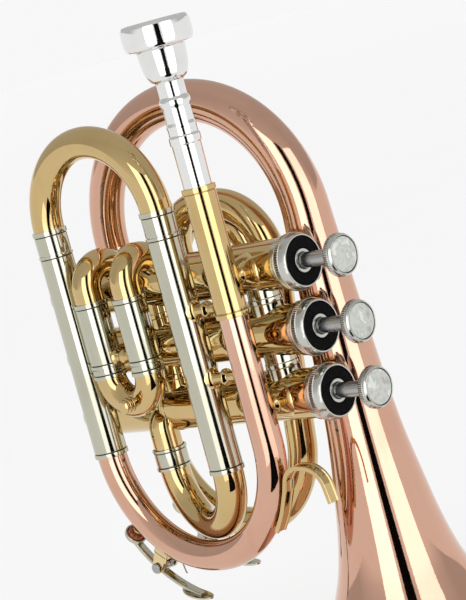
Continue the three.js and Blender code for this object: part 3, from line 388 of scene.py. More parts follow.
class Finish(Enum):
    """The finishes of the instrument."""

    BRASS = Metal(
        "yellow_brass", "brass", (0.62, 0.45, 0.205), (0.53, 0.35, 0.13), (0.86, 0.70, 0.40),
        (0.16, 0.09, 0.03), roughness=0.035, spread=0.06, lacquer=0.2,
    )
    ROSE = Metal(
        "rose_brass", "rose_brass", (0.67, 0.395, 0.285), (0.58, 0.30, 0.20), (0.88, 0.62, 0.50),
        (0.17, 0.07, 0.04), roughness=0.035, spread=0.06, lacquer=0.2,
    )
    NICKEL = Metal(
        "nickel", "nickel", (0.53, 0.52, 0.42), (0.43, 0.41, 0.32), (0.85, 0.84, 0.80),
        (0.07, 0.065, 0.055), roughness=0.05, spread=0.08,
    )
    SATIN = Metal(
        "satin_nickel", "nickel", (0.56, 0.56, 0.52), (0.44, 0.43, 0.39), (0.80, 0.80, 0.77),
        (0.05, 0.05, 0.045), roughness=0.15, spread=0.14, ripple=0.03, grain=0.12,
    )
    SILVER = Metal(
        "silver", "silver", (0.82, 0.82, 0.81), (0.72, 0.71, 0.69), (0.96, 0.96, 0.96),
        (0.12, 0.12, 0.12), roughness=0.03, spread=0.05,
    )
    STEEL = Metal(
        "steel", "steel", (0.42, 0.42, 0.415), (0.31, 0.31, 0.305), (0.55, 0.55, 0.56),
        (0.04, 0.04, 0.04), roughness=0.24, spread=0.14, ripple=0.02, grain=0.1,
    )
    # A near-black painted shade for the floors of grooves and the faces in knurl valleys.
    PAINTED_SHADE = Metal(
        "painted_shade", "nickel", (0.07, 0.06, 0.045), (0.05, 0.04, 0.03), (0.12, 0.11, 0.09),
        (0.02, 0.02, 0.015), roughness=0.35, spread=0.2, ripple=0.03, grain=0.1,
    )
    PEARL = Nacre()
    FELT = Soft(
        "black_felt", "felt", (0.006, 0.006, 0.006), (0.001, 0.001, 0.001), scale=1500.0,
        depth=0.0005,
    )
    CORK = Soft(
        "cork", "cork", (0.36, 0.13, 0.075), (0.16, 0.05, 0.03), scale=900.0, depth=0.0004,
    )

    def material(self) -> bpy.types.Material:
        """Gives the finish's material, which is made the first time.

        Returns:
            The material.
        """
        name = f"finish_{self.value.name}"
        found = bpy.data.materials.get(name)
        if found:
            return found
        made = bpy.data.materials.new(name)
        made.use_nodes = True
        self.value.build(Shader(made.node_tree))
        return made


# Shapes


@dataclass
class Skin:
    """A closed surface in the working frame, in millimetres, with the faces that get painted shade."""

    points: list[Vector]
    faces: list[tuple[int, ...]]
    # The faces on groove floors and in knurl valleys, which get a near-black painted shade.
    shaded_faces: list[int] = field(default_factory=list)


Outline = Sequence[tuple[float, float]]

# A corner that turns less than the first angle stays sharp, and one under the second gets few steps.
FLAT_TURN = math.radians(8)
SLIGHT_TURN = math.radians(25)
# A rounded corner takes at most this share of the shorter side beside it.
CUT_SHARE = 0.45
ARC_STEP = math.radians(4)
TURN_STEPS = 28
WIRE_SIDES = 12
FINE_SIDES = 96
# A face counts as a groove's floor, which gets painted shade, within the first of these, and a point as on
# the axis in the second.
SEAM_REACH = 0.03
ON_AXIS = 1e-6
LEAST_STEPS = 3


def rounded(outline: Outline, radius: float, closed: bool) -> list[tuple[float, float]]:
    """Rounds the corners of an outline.

    Args:
        outline: Its points.
        radius: The radius of a corner, which short sides make smaller.
        closed: Whether the last point joins the first.

    Returns:
        The outline with a short curve at each corner.
    """
    result = []
    count = len(outline)
    for i, here in enumerate(outline):
        if not closed and i in (0, count - 1):
            result.append(tuple(here))
            continue
        point = Vector(here)
        before = Vector(outline[i - 1]) - point
        after = Vector(outline[(i + 1) % count]) - point
        turn = math.pi - before.angle(after)
        if turn < FLAT_TURN:
            result.append(tuple(here))
            continue
        cut = min(radius * math.tan(turn / 2), CUT_SHARE * before.length, CUT_SHARE * after.length)
        first, last = point + before.normalized() * cut, point + after.normalized() * cut
        steps = 2 if turn < SLIGHT_TURN else 4
        for k in range(steps + 1):
            s = k / steps
            spot = first * (1 - s) ** 2 + point * (2 * s * (1 - s)) + last * s ** 2
            result.append((spot.x, spot.y))
    return result


@dataclass(frozen=True)
class Knurl:
    """A band of fine ridges round a turned piece, each drawn with four points."""

    count: int
    depth: float
    low: float
    high: float
    points: int = 4
    least_ratio: float = 9

    @property
    def least_radius(self) -> float:
        """The radius under which no ridge is cut."""
        return self.depth * self.least_ratio

    def at(self, travel: float, angle: float) -> float:
        """Tells how far the surface stands out.

        Args:
            travel: The place along the axis.
            angle: The place round the axis.

        Returns:
            The height, which is negative in a valley.
        """
        if not self.low <= travel <= self.high:
            return 0.0
        return -self.depth * (0.5 - 0.5 * math.cos(angle * self.count))


def turned(
    outline: Outline, origin: Vector, axis: Vector, sides: int = 72, edge: float = 0.25,
    knurl: Knurl | None = None, seam: float = 0.0,
) -> Skin:
    """A turned surface.

    Args:
        outline: Radius and travel along the axis; it starts and ends on the axis or closes.
        origin: The point on the axis where the travel is zero.
        axis: The axis, of length one.
        sides: How many faces go round.
        edge: The radius of the edges.
        knurl: Ridges round a band of it.
        seam: The radius of the grooves whose floors get painted shade.

    Returns:
        The surface.
    """
    solid = outline[0][0] == 0
    profile = rounded(outline, edge, not solid)
    side = (Y if abs(axis.x) > 0.5 else X).cross(axis).normalized()
    other = axis.cross(side)
    around = knurl.count * knurl.points if knurl else sides
    points: list[Vector] = []
    rows: list[list[int]] = []
    for radius, travel in profile:
        centre = origin + axis * travel
        if radius < ON_AXIS:
            rows.append([len(points)] * around)
            points.append(centre)
            continue
        rows.append([len(points) + i for i in range(around)])
        for i in range(around):
            angle = 2 * math.pi * i / around
            ridge = knurl.at(travel, angle) if knurl and radius > knurl.least_radius else 0
            reach = radius + ridge
            points.append(centre + (side * math.cos(angle) + other * math.sin(angle)) * reach)
    faces: list[tuple[int, ...]] = []
    shaded_faces: list[int] = []
    for n in range(len(rows) - 1 if solid else len(rows)):
        m = (n + 1) % len(rows)
        ends = (profile[n], profile[m])
        deep = seam and all(abs(radius - seam) < SEAM_REACH for radius, _ in ends)
        cut = knurl and all(knurl.low < travel < knurl.high and radius > knurl.least_radius
                            for radius, travel in ends)
        for i in range(around):
            j = (i + 1) % around
            corners = dict.fromkeys((rows[n][i], rows[n][j], rows[m][j], rows[m][i]))
            if len(corners) > 2:
                # Groove floors and the face beside each knurl valley get a near-black painted shade.
                if deep or (cut and i % knurl.points == 1):
                    shaded_faces.append(len(faces))
                faces.append(tuple(corners))
    return Skin(points, faces, shaded_faces)


@dataclass
class Route:
    """A smooth centre line: places and headings, with the length up to each."""

    places: list[Vector]
    headings: list[Vector]

    def lengths(self) -> list[float]:
        """Measures the route.

        Returns:
            The length along it at each place.
        """
        result = [0.0]
        for a, b in zip(self.places, self.places[1:]):
            result.append(result[-1] + (b - a).length)
        return result

    def frames(self) -> list[tuple[Vector, Vector]]:
        """Carries two directions along the route without a twist.

        Returns:
            The two directions across the route at each place.
        """
        first = self.headings[0]
        guide = X if abs(first.y) > abs(first.z) else Y
        normal = (guide - first * guide.dot(first)).normalized()
        result = []
        before = first
        for heading in self.headings:
            normal = before.rotation_difference(heading) @ normal
            result.append((normal, heading.cross(normal)))
            before = heading
        return result

    def section(self, outline: Outline) -> Skin:
        """Carries a flat outline from end to end.

        Args:
            outline: The outline, given across the route.

        Returns:
            The surface.
        """
        points = []
        for place, (normal, side) in zip(self.places, self.frames()):
            points += [place + normal * u + side * v for u, v in outline]
        count, rows = len(outline), len(self.places)
        faces = [tuple(range(count)), tuple((rows - 1) * count + i for i in range(count))]
        for i in range(rows - 1):
            for j in range(count):
                k = (j + 1) % count
                faces.append((i * count + j, i * count + k, (i + 1) * count + k, (i + 1) * count + j))
        return Skin(points, faces)

    def tube(
        self, radius: "float | Callable[[float], float]", wall: float = 0.5, sides: int = 56,
    ) -> Skin:
        """A tube with open ends along the route.

        Args:
            radius: Its outer radius, or a function of the length along it.
            wall: Its wall; zero makes it a bar.
            sides: How many faces go round.

        Returns:
            The surface.
        """
        sizes = [radius(s) if callable(radius) else radius for s in self.lengths()]
        circle = [
            (math.cos(2 * math.pi * i / sides), math.sin(2 * math.pi * i / sides))
            for i in range(sides)
        ]
        rings = []
        across = self.frames()
        for cut in (0.0, wall) if wall else (0.0,):
            layer = []
            for place, size, (normal, side) in zip(self.places, sizes, across):
                layer.append([place + (normal * u + side * v) * (size - cut) for u, v in circle])
            rings += layer if not cut else layer[::-1]
        points = [point for ring in rings for point in ring]
        faces = []
        last = len(rings) if wall else len(rings) - 1
        for i in range(last):
            n = (i + 1) % len(rings)
            for j in range(sides):
                k = (j + 1) % sides
                faces.append((i * sides + j, i * sides + k, n * sides + k, n * sides + j))
        if not wall:
            faces += [tuple(range(sides)), tuple(last * sides + j for j in range(sides))]
        return Skin(points, faces)


def cornered(corners: Sequence[Vector], bends: Sequence[float]) -> Route:
    """A route of straight runs with an arc at each inner corner.

    Args:
        corners: The ends and the corners.
        bends: The arc's radius at each inner corner.

    Returns:
        The route.
    """
    headings = [(b - a).normalized() for a, b in zip(corners, corners[1:])]
    places, along = [corners[0]], [headings[0]]
    for corner, bend, before, after in zip(corners[1:], bends, headings, headings[1:]):
        turn = before.angle(after)
        start = corner - before * (bend * math.tan(turn / 2))
        inner = (after - before * after.dot(before)).normalized()
        centre = start + inner * bend
        steps = max(LEAST_STEPS, round(turn / ARC_STEP))
        for k in range(steps + 1):
            angle = turn * k / steps
            places.append(centre - inner * (bend * math.cos(angle)) + before * (bend * math.sin(angle)))
            along.append(before * math.cos(angle) + inner * math.sin(angle))
    return Route([*places, corners[-1]], [*along, headings[-1]])


def u_route(start: Vector, end: Vector, out: Vector, low: float, spring: float, end_low: float) -> Route:
    """A route up one leg, round a half circle and down the other leg.

    Args:
        start: The first leg's foot, where heights are zero.
        end: The second leg's foot.
        out: The way from the feet to the bow.
        low: The height where the first leg starts.
        spring: The height where the half circle starts.
        end_low: The height where the second leg ends.

    Returns:
        The route.
    """
    half = (end - start) / 2
    across, bend = half.normalized(), half.length
    centre = start + half + out * spring
    steps = round(math.pi / ARC_STEP)
    places, along = [start + out * low], [out.copy()]
    for k in range(steps + 1):
        angle = math.pi * k / steps
        places.append(centre - across * (bend * math.cos(angle)) + out * (bend * math.sin(angle)))
        along.append(out * math.cos(angle) + across * math.sin(angle))
    return Route([*places, end + out * end_low], [*along, -out])


def stepped(knots: Outline) -> Callable[[float], float]:
    """Makes a function that runs in straight lines through knots.

    Args:
        knots: Each knot's length and value.

    Returns:
        The function.
    """

    def value(length: float) -> float:
        """Reads the function off.

        Args:
            length: A length.

        Returns:
            The value there.
        """
        if length <= knots[0][0]:
            return knots[0][1]
        for (a, low), (b, high) in zip(knots, knots[1:]):
            if length <= b:
                return low + (high - low) * (length - a) / (b - a)
        return knots[-1][1]

    return value


def fluent(knots: Outline, count: int) -> list[tuple[float, float]]:
    """Runs a smooth curve, free of overshoot, through knots of travel and radius.

    Args:
        knots: The knots, in order of travel.
        count: How many points to give between two knots.

    Returns:
        The finer outline.
    """
    slopes = [(b[1] - a[1]) / (b[0] - a[0]) for a, b in zip(knots, knots[1:])]
    tangents = [slopes[0]]
    for before, after in zip(slopes, slopes[1:]):
        tangents.append(0.0 if before * after <= 0 else 2 * before * after / (before + after))
    tangents.append(slopes[-1])
    result = []
    for i, (a, b) in enumerate(zip(knots, knots[1:])):
        width = b[0] - a[0]
        for k in range(count):
            s = k / count
            value = (
                a[1] * (2 * s ** 3 - 3 * s ** 2 + 1) + b[1] * (3 * s ** 2 - 2 * s ** 3)
                + width * tangents[i] * (s ** 3 - 2 * s ** 2 + s)
                + width * tangents[i + 1] * (s ** 3 - s ** 2)
            )
            result.append((a[0] + width * s, value))
    return [*result, tuple(knots[-1])]


def coil(radius: float, wire: float, turns: float, low: float, high: float,
         origin: Vector, axis: Vector) -> Skin:
    """A wire wound round an axis.

    Args:
        radius: The radius of the winding.
        wire: The radius of the wire.
        turns: How often it goes round.
        low: The travel along the axis where it starts.
        high: The travel where it ends.
        origin: The point on the axis where the travel is zero.
        axis: The axis, of length one.

    Returns:
        The surface.
    """
    side = Y if abs(axis.x) > 0.5 else X
    other = axis.cross(side)
    count = int(turns * TURN_STEPS)
    pitch = (high - low) / (2 * math.pi * turns)
    places, along = [], []
    for i in range(count + 1):
        angle = 2 * math.pi * turns * i / count
        arm = side * math.cos(angle) + other * math.sin(angle)
        ahead = other * math.cos(angle) - side * math.sin(angle)
        places.append(origin + axis * (low + pitch * angle) + arm * radius)
        along.append((axis * pitch + ahead * radius).normalized())
    return Route(places, along).tube(wire, 0, WIRE_SIDES)


# Fitting pieces to their bodies


class Body(Enum):
    """The moving bodies of the instrument."""

    INSTRUMENT = "instrument"
    MOUTHPIECE = "mouthpiece"
    TUNING = "tuning_slide"
    FIRST = "first_slide"
    SECOND = "second_slide"
    THIRD = "third_slide"
    KEY_1 = "water_key_1"
    KEY_2 = "water_key_2"
    VALVE_1 = "valve_1"
    VALVE_2 = "valve_2"
    VALVE_3 = "valve_3"


# Points nearer than the weld, in metres, are one, and edges that turn more than the crease stay sharp.
WELD = 1e-7
CREASE = math.radians(38)


def fit(name: str, skin: Skin, finish: Finish, body: Body, *nodes: str) -> bpy.types.Object:
    """Makes a piece from its surface and puts it on its body.

    Args:
        name: The piece's name.
        skin: Its surface.
        finish: Its finish.
        body: The body that carries it.
        nodes: The solids that it stands for.

    Returns:
        The piece.
    """
    mesh = bpy.data.meshes.new(name)
    mesh.from_pydata([ORIGIN + point * MM for point in skin.points], [], skin.faces)
    # Faces on groove floors and in knurl valleys take the second material, a near-black painted shade.
    for index in skin.shaded_faces:
        mesh.polygons[index].material_index = 1
    shaped = bmesh.new()
    shaped.from_mesh(mesh)
    bmesh.ops.remove_doubles(shaped, verts=shaped.verts, dist=WELD)
    bmesh.ops.recalc_face_normals(shaped, faces=shaped.faces)
    for face in shaped.faces:
        face.smooth = True
    for line in shaped.edges:
        if len(line.link_faces) == 2 and line.calc_face_angle(0) > CREASE:
            line.smooth = False
    shaped.to_mesh(mesh)
    shaped.free()
    piece = bpy.data.objects.new(name, mesh)
    bpy.context.scene.collection.objects.link(piece)
    mesh.materials.append(finish.material())
    # The second material is the painted shade for those faces.
    if skin.shaded_faces:
        mesh.materials.append(Finish.PAINTED_SHADE.material())
    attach(piece, body.value)
    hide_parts(*nodes)
    LOG.info("%s: %d faces on %s", name, len(mesh.polygons), body.value)
    return piece


@dataclass(frozen=True)
class Groove:
    """The fine groove beside a raised ring, in millimetres."""

    depth: float = 0.22
    near: float = 0.03
    far: float = 0.4
    lip: float = 0.45
    least: float = 0.01
    edge: float = 0.12


GROOVE = Groove()


def grooved_sleeve(
    bore: float, radius: float, proud: float, low: float, high: float, foot: Vector, axis: Vector,
    bands: Sequence[tuple[float, float]],
) -> Skin:
    """A sleeve with raised rings, each set off by a fine groove.

    Args:
        bore: The sleeve's bore.
        radius: Its outer radius.
        proud: How far a ring stands over it.
        low: Where the sleeve starts.
        high: Where it ends.
        foot: The point on its axis where travels are zero.
        axis: Its axis.
        bands: Where each ring starts and ends.

    Returns:
        The sleeve.
    """
    deep = radius - GROOVE.depth
    outline = [(bore, low)]
    if bands[0][0] - low > GROOVE.least:
        outline.append((radius, low))
    for start, end in bands:
        if start - low > GROOVE.least:
            outline += [(radius, start - GROOVE.lip), (deep, start - GROOVE.far),
                        (deep, start - GROOVE.near)]
        outline += [(radius + proud, start), (radius + proud, end)]
        if high - end > GROOVE.least:
            outline += [(deep, end + GROOVE.near), (deep, end + GROOVE.far),
                        (radius, end + GROOVE.lip)]
    if high - bands[-1][1] > GROOVE.least:
        outline.append((radius, high))
    outline.append((bore, high))
    # The groove floors at the deep radius get painted shade.
    return turned(outline, foot, axis, edge=GROOVE.edge, seam=deep)


# Sizes that pieces share


@dataclass(frozen=True)
class Bores:
    """The tube radii of the instrument and the fits between them, in millimetres."""

    tube: float = 6.3
    wall: float = 0.5
    sleeve_bore: float = 6.6
    sleeve: float = 7.0
    side: float = 6.1
    side_bow: float = 6.3
    side_sleeve_bore: float = 6.4
    side_sleeve: float = 6.8
    casing: float = 10.2
    ring: float = 1.8
    seat: float = 0.3
    gap: float = 0.35
    bite: float = 0.2


BORES = Bores()
# The plane of the front loop, the distance between valves, and the three upright tubes of the loop.
FRONT_Y = -22.0
PITCH = 26.5
MOUTH_X = -23.6
LEFT_X = -116.8
RIGHT_X = -50.1
SLEEVE_TOP = 22.1


def at(x: float, y: float, z: float) -> Vector:
    """A point of the working frame, in millimetres."""
    return Vector((x, y, z))


def moved(outline: Outline, radius: float, travel: float = 0.0) -> list[tuple[float, float]]:
    """An outline with a radius and a travel added to each point."""
    return [(radius + across, travel + along) for across, along in outline]


# Sub-assemblies


@dataclass
class Valve:
    """One piston valve: casing, caps, felt, spring, piston, button and pearl.

    Travels run along the valve and are zero at the top cap's face.
    """

    index: int
    casing: float = BORES.casing
    wall: float = 1.4
    foot: float = -140.0
    top: float = -2.9
    rings: tuple[float, ...] = (-92.0, -46.0)
    ring_width: float = 2.5
    ring_proud: float = 0.4
    ring_slope: float = 0.3
    cap: float = 11.6
    cap_depth: float = 9.0
    cap_plate: float = 2.6
    cap_rim: Outline = (
        (-0.9, -9.0), (-0.55, -8.7), (-0.5, -6.2), (-0.75, -6.05), (-0.75, -5.85), (0, -5.7),
        (0, -3.6), (-0.3, -3.4), (-0.45, -2.4), (-0.75, -1.1), (-1.2, 0),
    )
    cap_knurl: Knurl = Knurl(72, 0.6, -5.75, -3.55)
    base_radius: float = 11.0
    base_top: float = -133.0
    base_foot: float = -143.5
    base_dish: float = 0.6
    base_rim: Outline = ((2.6, 0), (7.4, 0), (8.4, 0.7), (10.1, 0.9), (11.0, 1.9))
    base_bevel: tuple[float, float] = (0.4, 1.4)
    base_knurl: Knurl = Knurl(80, 0.3, -141.7, -136.2)
    vent: float = 1.5
    felt: float = 9.5
    felt_depth: float = 1.5
    felt_rim: Outline = ((0, -1.2), (0, -0.35), (-0.6, -0.05))
    felt_eye: Outline = ((0.7, -0.05), (0.25, -0.35), (0.25, -1.2))
    collar: float = 4.75
    stem: float = 3.1
    tenon: float = 2.0
    disc: float = 7.4
    disc_top: float = -12.2
    disc_foot: float = -14.6
    rod: float = 2.5
    piston_top: float = -64.0
    piston_foot: float = -118.0
    piston_wall: float = 1.1
    piston_sides: int = 64
    button: float = 8.5
    button_height: float = 16.6
    button_depth: float = 5.0
    button_socket: float = 2.3
    button_rim: Outline = (
        (-1.8, 0), (-0.5, 0.9), (0, 1.5), (0, 2.9), (-0.2, 3.2), (-0.25, 4.2), (-0.8, 5.0),
    )
    button_knurl: Knurl = Knurl(64, 0.25, 17.8, 19.6)
    pearl: float = 7.0
    pearl_depth: float = 1.5
    pearl_foot: float = 1.2
    pearl_edge: float = 0.35
    dome_foot: float = 0.3
    dome_rise: float = 0.62
    dome_top: float = 0.33
    dome_angles: tuple[float, ...] = (0.25, 0.5, 0.8, 1.1, 1.35)
    spring: tuple[float, float] = (-56.25, -15.35)
    spring_radius: float = 5.6
    spring_wire: float = 0.45
    spring_turns: float = 6
    stroke: float = 15.5

    @property
    def centre(self) -> Vector:
        """The centre of the valve's cap face."""
        return at(0, 0, -PITCH * self.index)

    @property
    def number(self) -> int:
        """The valve's number, from the mouthpiece's side."""
        return self.index + 1

    @property
    def body(self) -> Body:
        """The body that the piston rides."""
        return Body(f"valve_{self.number}")

    def build(self) -> None:
        """Makes the whole valve."""
        self.build_casing()
        self.build_caps()
        self.build_piston()
        self.build_button()

    def build_casing(self) -> None:
        """Makes the casing's tube with its raised rings."""
        bore, half = self.casing - self.wall, self.ring_width / 2
        outline = [(bore, self.foot), (self.casing, self.foot)]
        for place in self.rings:
            low, high = place - half, place + half
            outline += [
                (self.casing, low - self.ring_slope), (self.casing + self.ring_proud, low),
                (self.casing + self.ring_proud, high), (self.casing, high + self.ring_slope),
            ]
        outline += [(self.casing, self.top), (bore, self.top)]
        skin = turned(outline, self.centre, X, FINE_SIDES)
        fit(f"casing_tube_{self.number}", skin, Finish.BRASS, Body.INSTRUMENT, f"casing_{self.number}")

    def build_caps(self) -> None:
        """Makes both caps, knurled round their edges, and the black felt."""
        skirt, rim, eye = (radius + BORES.seat for radius in (self.casing, self.felt, self.stem))
        n = self.number
        top = turned([
            (skirt, -self.cap_depth), *moved(self.cap_rim, self.cap),
            (rim, 0), (rim, -self.felt_depth), (self.collar, -self.felt_depth), (self.collar, 0),
            (eye, 0), (eye, -self.cap_plate), (skirt, -self.cap_plate),
        ], self.centre, X, knurl=self.cap_knurl)
        fit(f"cap_{n}", top, Finish.SATIN, Body.INSTRUMENT, f"top_cap_{n}")
        felt = turned([*moved(self.felt_rim, self.felt), *moved(self.felt_eye, self.collar)],
                      self.centre, X)
        fit(f"felt_ring_{n}", felt, Finish.FELT, Body.INSTRUMENT, f"felt_{n}")
        inset, bevel = self.base_bevel
        floor = self.foot - BORES.seat
        base = turned([
            (self.vent, self.base_foot + self.base_dish), *moved(self.base_rim, 0, self.base_foot),
            (self.base_radius, self.base_top - bevel), (self.base_radius - inset, self.base_top),
            (skirt, self.base_top), (skirt, floor), (self.vent, floor),
        ], self.centre, X, knurl=self.base_knurl)
        fit(f"foot_cap_{n}", base, Finish.SATIN, Body.INSTRUMENT, f"bottom_cap_{n}")

    def build_piston(self) -> None:
        """Makes the stem, the piston and its spring."""
        n, body = self.number, self.casing - self.wall - BORES.seat
        shoulder, roof = self.button_height - BORES.seat, self.piston_top - self.piston_wall
        skin = turned([
            (0, shoulder + self.tenon), (self.tenon, shoulder + self.tenon), (self.tenon, shoulder),
            (self.stem, shoulder), (self.stem, self.disc_top), (self.disc, self.disc_top),
            (self.disc, self.disc_foot), (self.rod, self.disc_foot), (self.rod, self.piston_top),
            (body, self.piston_top), (body, self.piston_foot),
            (body - self.piston_wall, self.piston_foot), (body - self.piston_wall, roof), (0, roof),
        ], self.centre, X, self.piston_sides)
        fit(f"stem_and_piston_{n}", skin, Finish.STEEL, self.body, f"piston_{n}")
        spring = coil(self.spring_radius, self.spring_wire, self.spring_turns, *self.spring,
                      self.centre, X)
        piece = fit(f"spring_{n}", spring, Finish.STEEL, Body.INSTRUMENT, f"valve_spring_{n}")
        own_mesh(piece)

    def build_button(self) -> None:
        """Makes the finger button with its knurled rim, and the pearl let into it."""
        n, foot, socket = self.number, self.button_height, self.button_socket
        face = foot + self.button_depth
        pocket, floor = self.pearl + BORES.seat, face - self.pearl_depth
        skin = turned([
            (0, foot + socket), (socket, foot + socket), (socket, foot),
            *moved(self.button_rim, self.button, foot), (pocket, face), (pocket, floor), (0, floor),
        ], self.centre, X, knurl=self.button_knurl)
        fit(f"finger_button_{n}", skin, Finish.SATIN, self.body, f"button_{n}")
        bottom = face - self.pearl_foot
        dome = [(0, bottom), (self.pearl, bottom), (self.pearl, face - self.pearl_edge)]
        dome += [(self.pearl * math.cos(a), face - self.dome_foot + self.dome_rise * math.sin(a))
                 for a in self.dome_angles]
        skin = turned([*dome, (0, face + self.dome_top)], self.centre, X)
        fit(f"pearl_inlay_{n}", skin, Finish.PEARL, self.body, f"pearl_{n}")


@dataclass
class Knuckles:
    """The tubes that join the casings to their slides and to each other."""

    first_x: tuple[float, float] = (-101.3, -77.8)
    first_y: float = -24.0
    first_z: float = -4.0
    first_aim: float = 4.14
    third_x: tuple[float, float] = (-106.0, -58.2)
    third_y: float = 33.0
    third_rise: float = 14.0
    third_seat: float = 8.6
    bend: float = 10.0
    second_x: tuple[float, float] = (-92.0, -72.0)
    second_radius: float = 6.9
    second_seat: float = 8.2
    second_mouth: float = 25.0
    collar_edge: float = 0.6
    collar_rim: Outline = ((-0.2, 7.5), (1.1, 7.5), (0.7, 10.3), (0.25, 11.2), (-0.2, 11.6))
    bridge_x: float = -88.0
    spacer_x: float = -26.0
    bridge: Outline = (
        (0, -6.6), (2.3, -6.6), (4.6, -6.6), (6.8, -6.6), (6.8, -1.2), (7.1, -0.9), (7.1, 0.9),
        (6.8, 1.2), (6.8, 6.6), (4.6, 6.6), (2.3, 6.6), (0, 6.6),
    )
    bridge_hold: float = 9.7
    inlet: tuple[tuple[float, float, float], ...] = (
        (-96, -8.2, -74.6), (-96, -8.2, -2 * PITCH - 4.5), (-96, -0.5, -2 * PITCH),
    )
    inlet_bend: float = 7.0
    port: tuple[tuple[float, float, float], ...] = ((-88, 8.4, 0), (-88, 10.9, 0))

    def build(self) -> None:
        """Makes every joining tube and the cast collar at its foot."""
        for name, x in zip(("left", "right"), self.first_x):
            top = at(x, self.first_y, self.first_aim - self.first_y)
            route = cornered([at(x, self.first_y, self.first_z), top, at(x, 0, self.first_aim)],
                             [self.bend])
            self.tube(f"first_knuckle_{name}", route, BORES.side, "casing_1")
        z = -2 * PITCH
        for name, x in zip(("left", "right"), self.third_x):
            route = cornered([at(x, self.third_y, z + self.third_rise), at(x, self.third_y, z),
                              at(x, self.third_seat, z)], [self.bend])
            self.tube(f"third_knuckle_{name}", route, BORES.side, "casing_3")
            collar = turned(moved(self.collar_rim, BORES.side), at(x, 0, z), Y, edge=self.collar_edge)
            fit(f"third_collar_{name}", collar, Finish.BRASS, Body.INSTRUMENT, "casing_3")
        for name, x in zip(("left", "right"), self.second_x):
            skin = grooved_sleeve(
                BORES.side_sleeve_bore, self.second_radius, BORES.gap, self.second_seat,
                self.second_mouth, at(x, 0, -PITCH), Y,
                [(self.second_mouth - BORES.ring, self.second_mouth)],
            )
            fit(f"second_sleeve_{name}", skin, Finish.NICKEL, Body.INSTRUMENT, "casing_2")
        self.build_bridges()
        stub = cornered([at(*place) for place in self.inlet], [self.inlet_bend])
        self.tube("inlet_stub", stub, BORES.tube, "casing_3")
        self.tube("rear_port", Route([at(*place) for place in self.port], [Y, Y]), BORES.tube, "casing_1")

    def tube(self, name: str, route: Route, radius: float, node: str) -> None:
        """Makes one joining tube that stands for part of a casing."""
        fit(name, route.tube(radius, BORES.wall), Finish.BRASS, Body.INSTRUMENT, node)

    def build_bridges(self) -> None:
        """Makes the short tubes and spacers between neighbouring casings, ended at their walls."""
        for number, (x, z) in enumerate(
            (x, z) for x in (self.bridge_x, self.spacer_x) for z in (-PITCH / 2, -1.5 * PITCH)
        ):
            skin = turned(self.bridge, at(x, 0, z), Z)
            for point in skin.points:
                limit = PITCH / 2 - math.sqrt(self.bridge_hold ** 2 - point.y ** 2)
                point.z = z + max(-limit, min(limit, point.z - z))
            spacer = x == self.spacer_x
            node = ("casing_1", "casing_3")[number % 2] if spacer else "casing_2"
            finish = Finish.NICKEL if spacer else Finish.BRASS
            fit(f"cross_tube_{number + 1}", skin, finish, Body.INSTRUMENT, node)


@dataclass
class Mouthpiece:
    """The silver mouthpiece: shank, rings, throat and cup."""

    tip: float = 15.0
    length: float = 88.6
    rim: float = 13.5
    edge: float = 0.9
    outer_shares: Outline = (
        (0.363, 0), (0.422, 0.271), (0.433, 0.455), (0.467, 0.462), (0.467, 0.492), (0.43, 0.5),
        (0.43, 0.53), (0.447, 0.54), (0.42, 0.556), (0.407, 0.62), (0.456, 0.636),
        (0.462, 0.645), (0.456, 0.654), (0.405, 0.67), (0.4, 0.735), (0.44, 0.741),
        (0.53, 0.75), (0.61, 0.768), (0.665, 0.797), (0.695, 0.83), (0.71, 0.862),
        (0.72, 0.882), (0.76, 0.888), (0.95, 0.893), (1.0, 0.905), (1.03, 0.925),
        (1.035, 0.96), (1.02, 0.99), (0.97, 1.006), (0.88, 1.01),
    )
    inner_shares: Outline = (
        (0.78, 1.005), (0.7, 0.985), (0.65, 0.965), (0.6, 0.94), (0.5, 0.9), (0.3, 0.865),
        (0.17, 0.845), (0.136, 0.8), (0.2, 0.5), (0.31, 0),
    )

    def build(self) -> None:
        """Makes the mouthpiece in one turning."""
        shares = (*self.outer_shares, *self.inner_shares)
        outline = [(radius * self.rim, travel * self.length) for radius, travel in shares]
        skin = turned(outline, at(MOUTH_X, FRONT_Y, self.tip), Z, FINE_SIDES, self.edge)
        fit("cup_and_shank", skin, Finish.SILVER, Body.MOUTHPIECE, "mouthpiece")


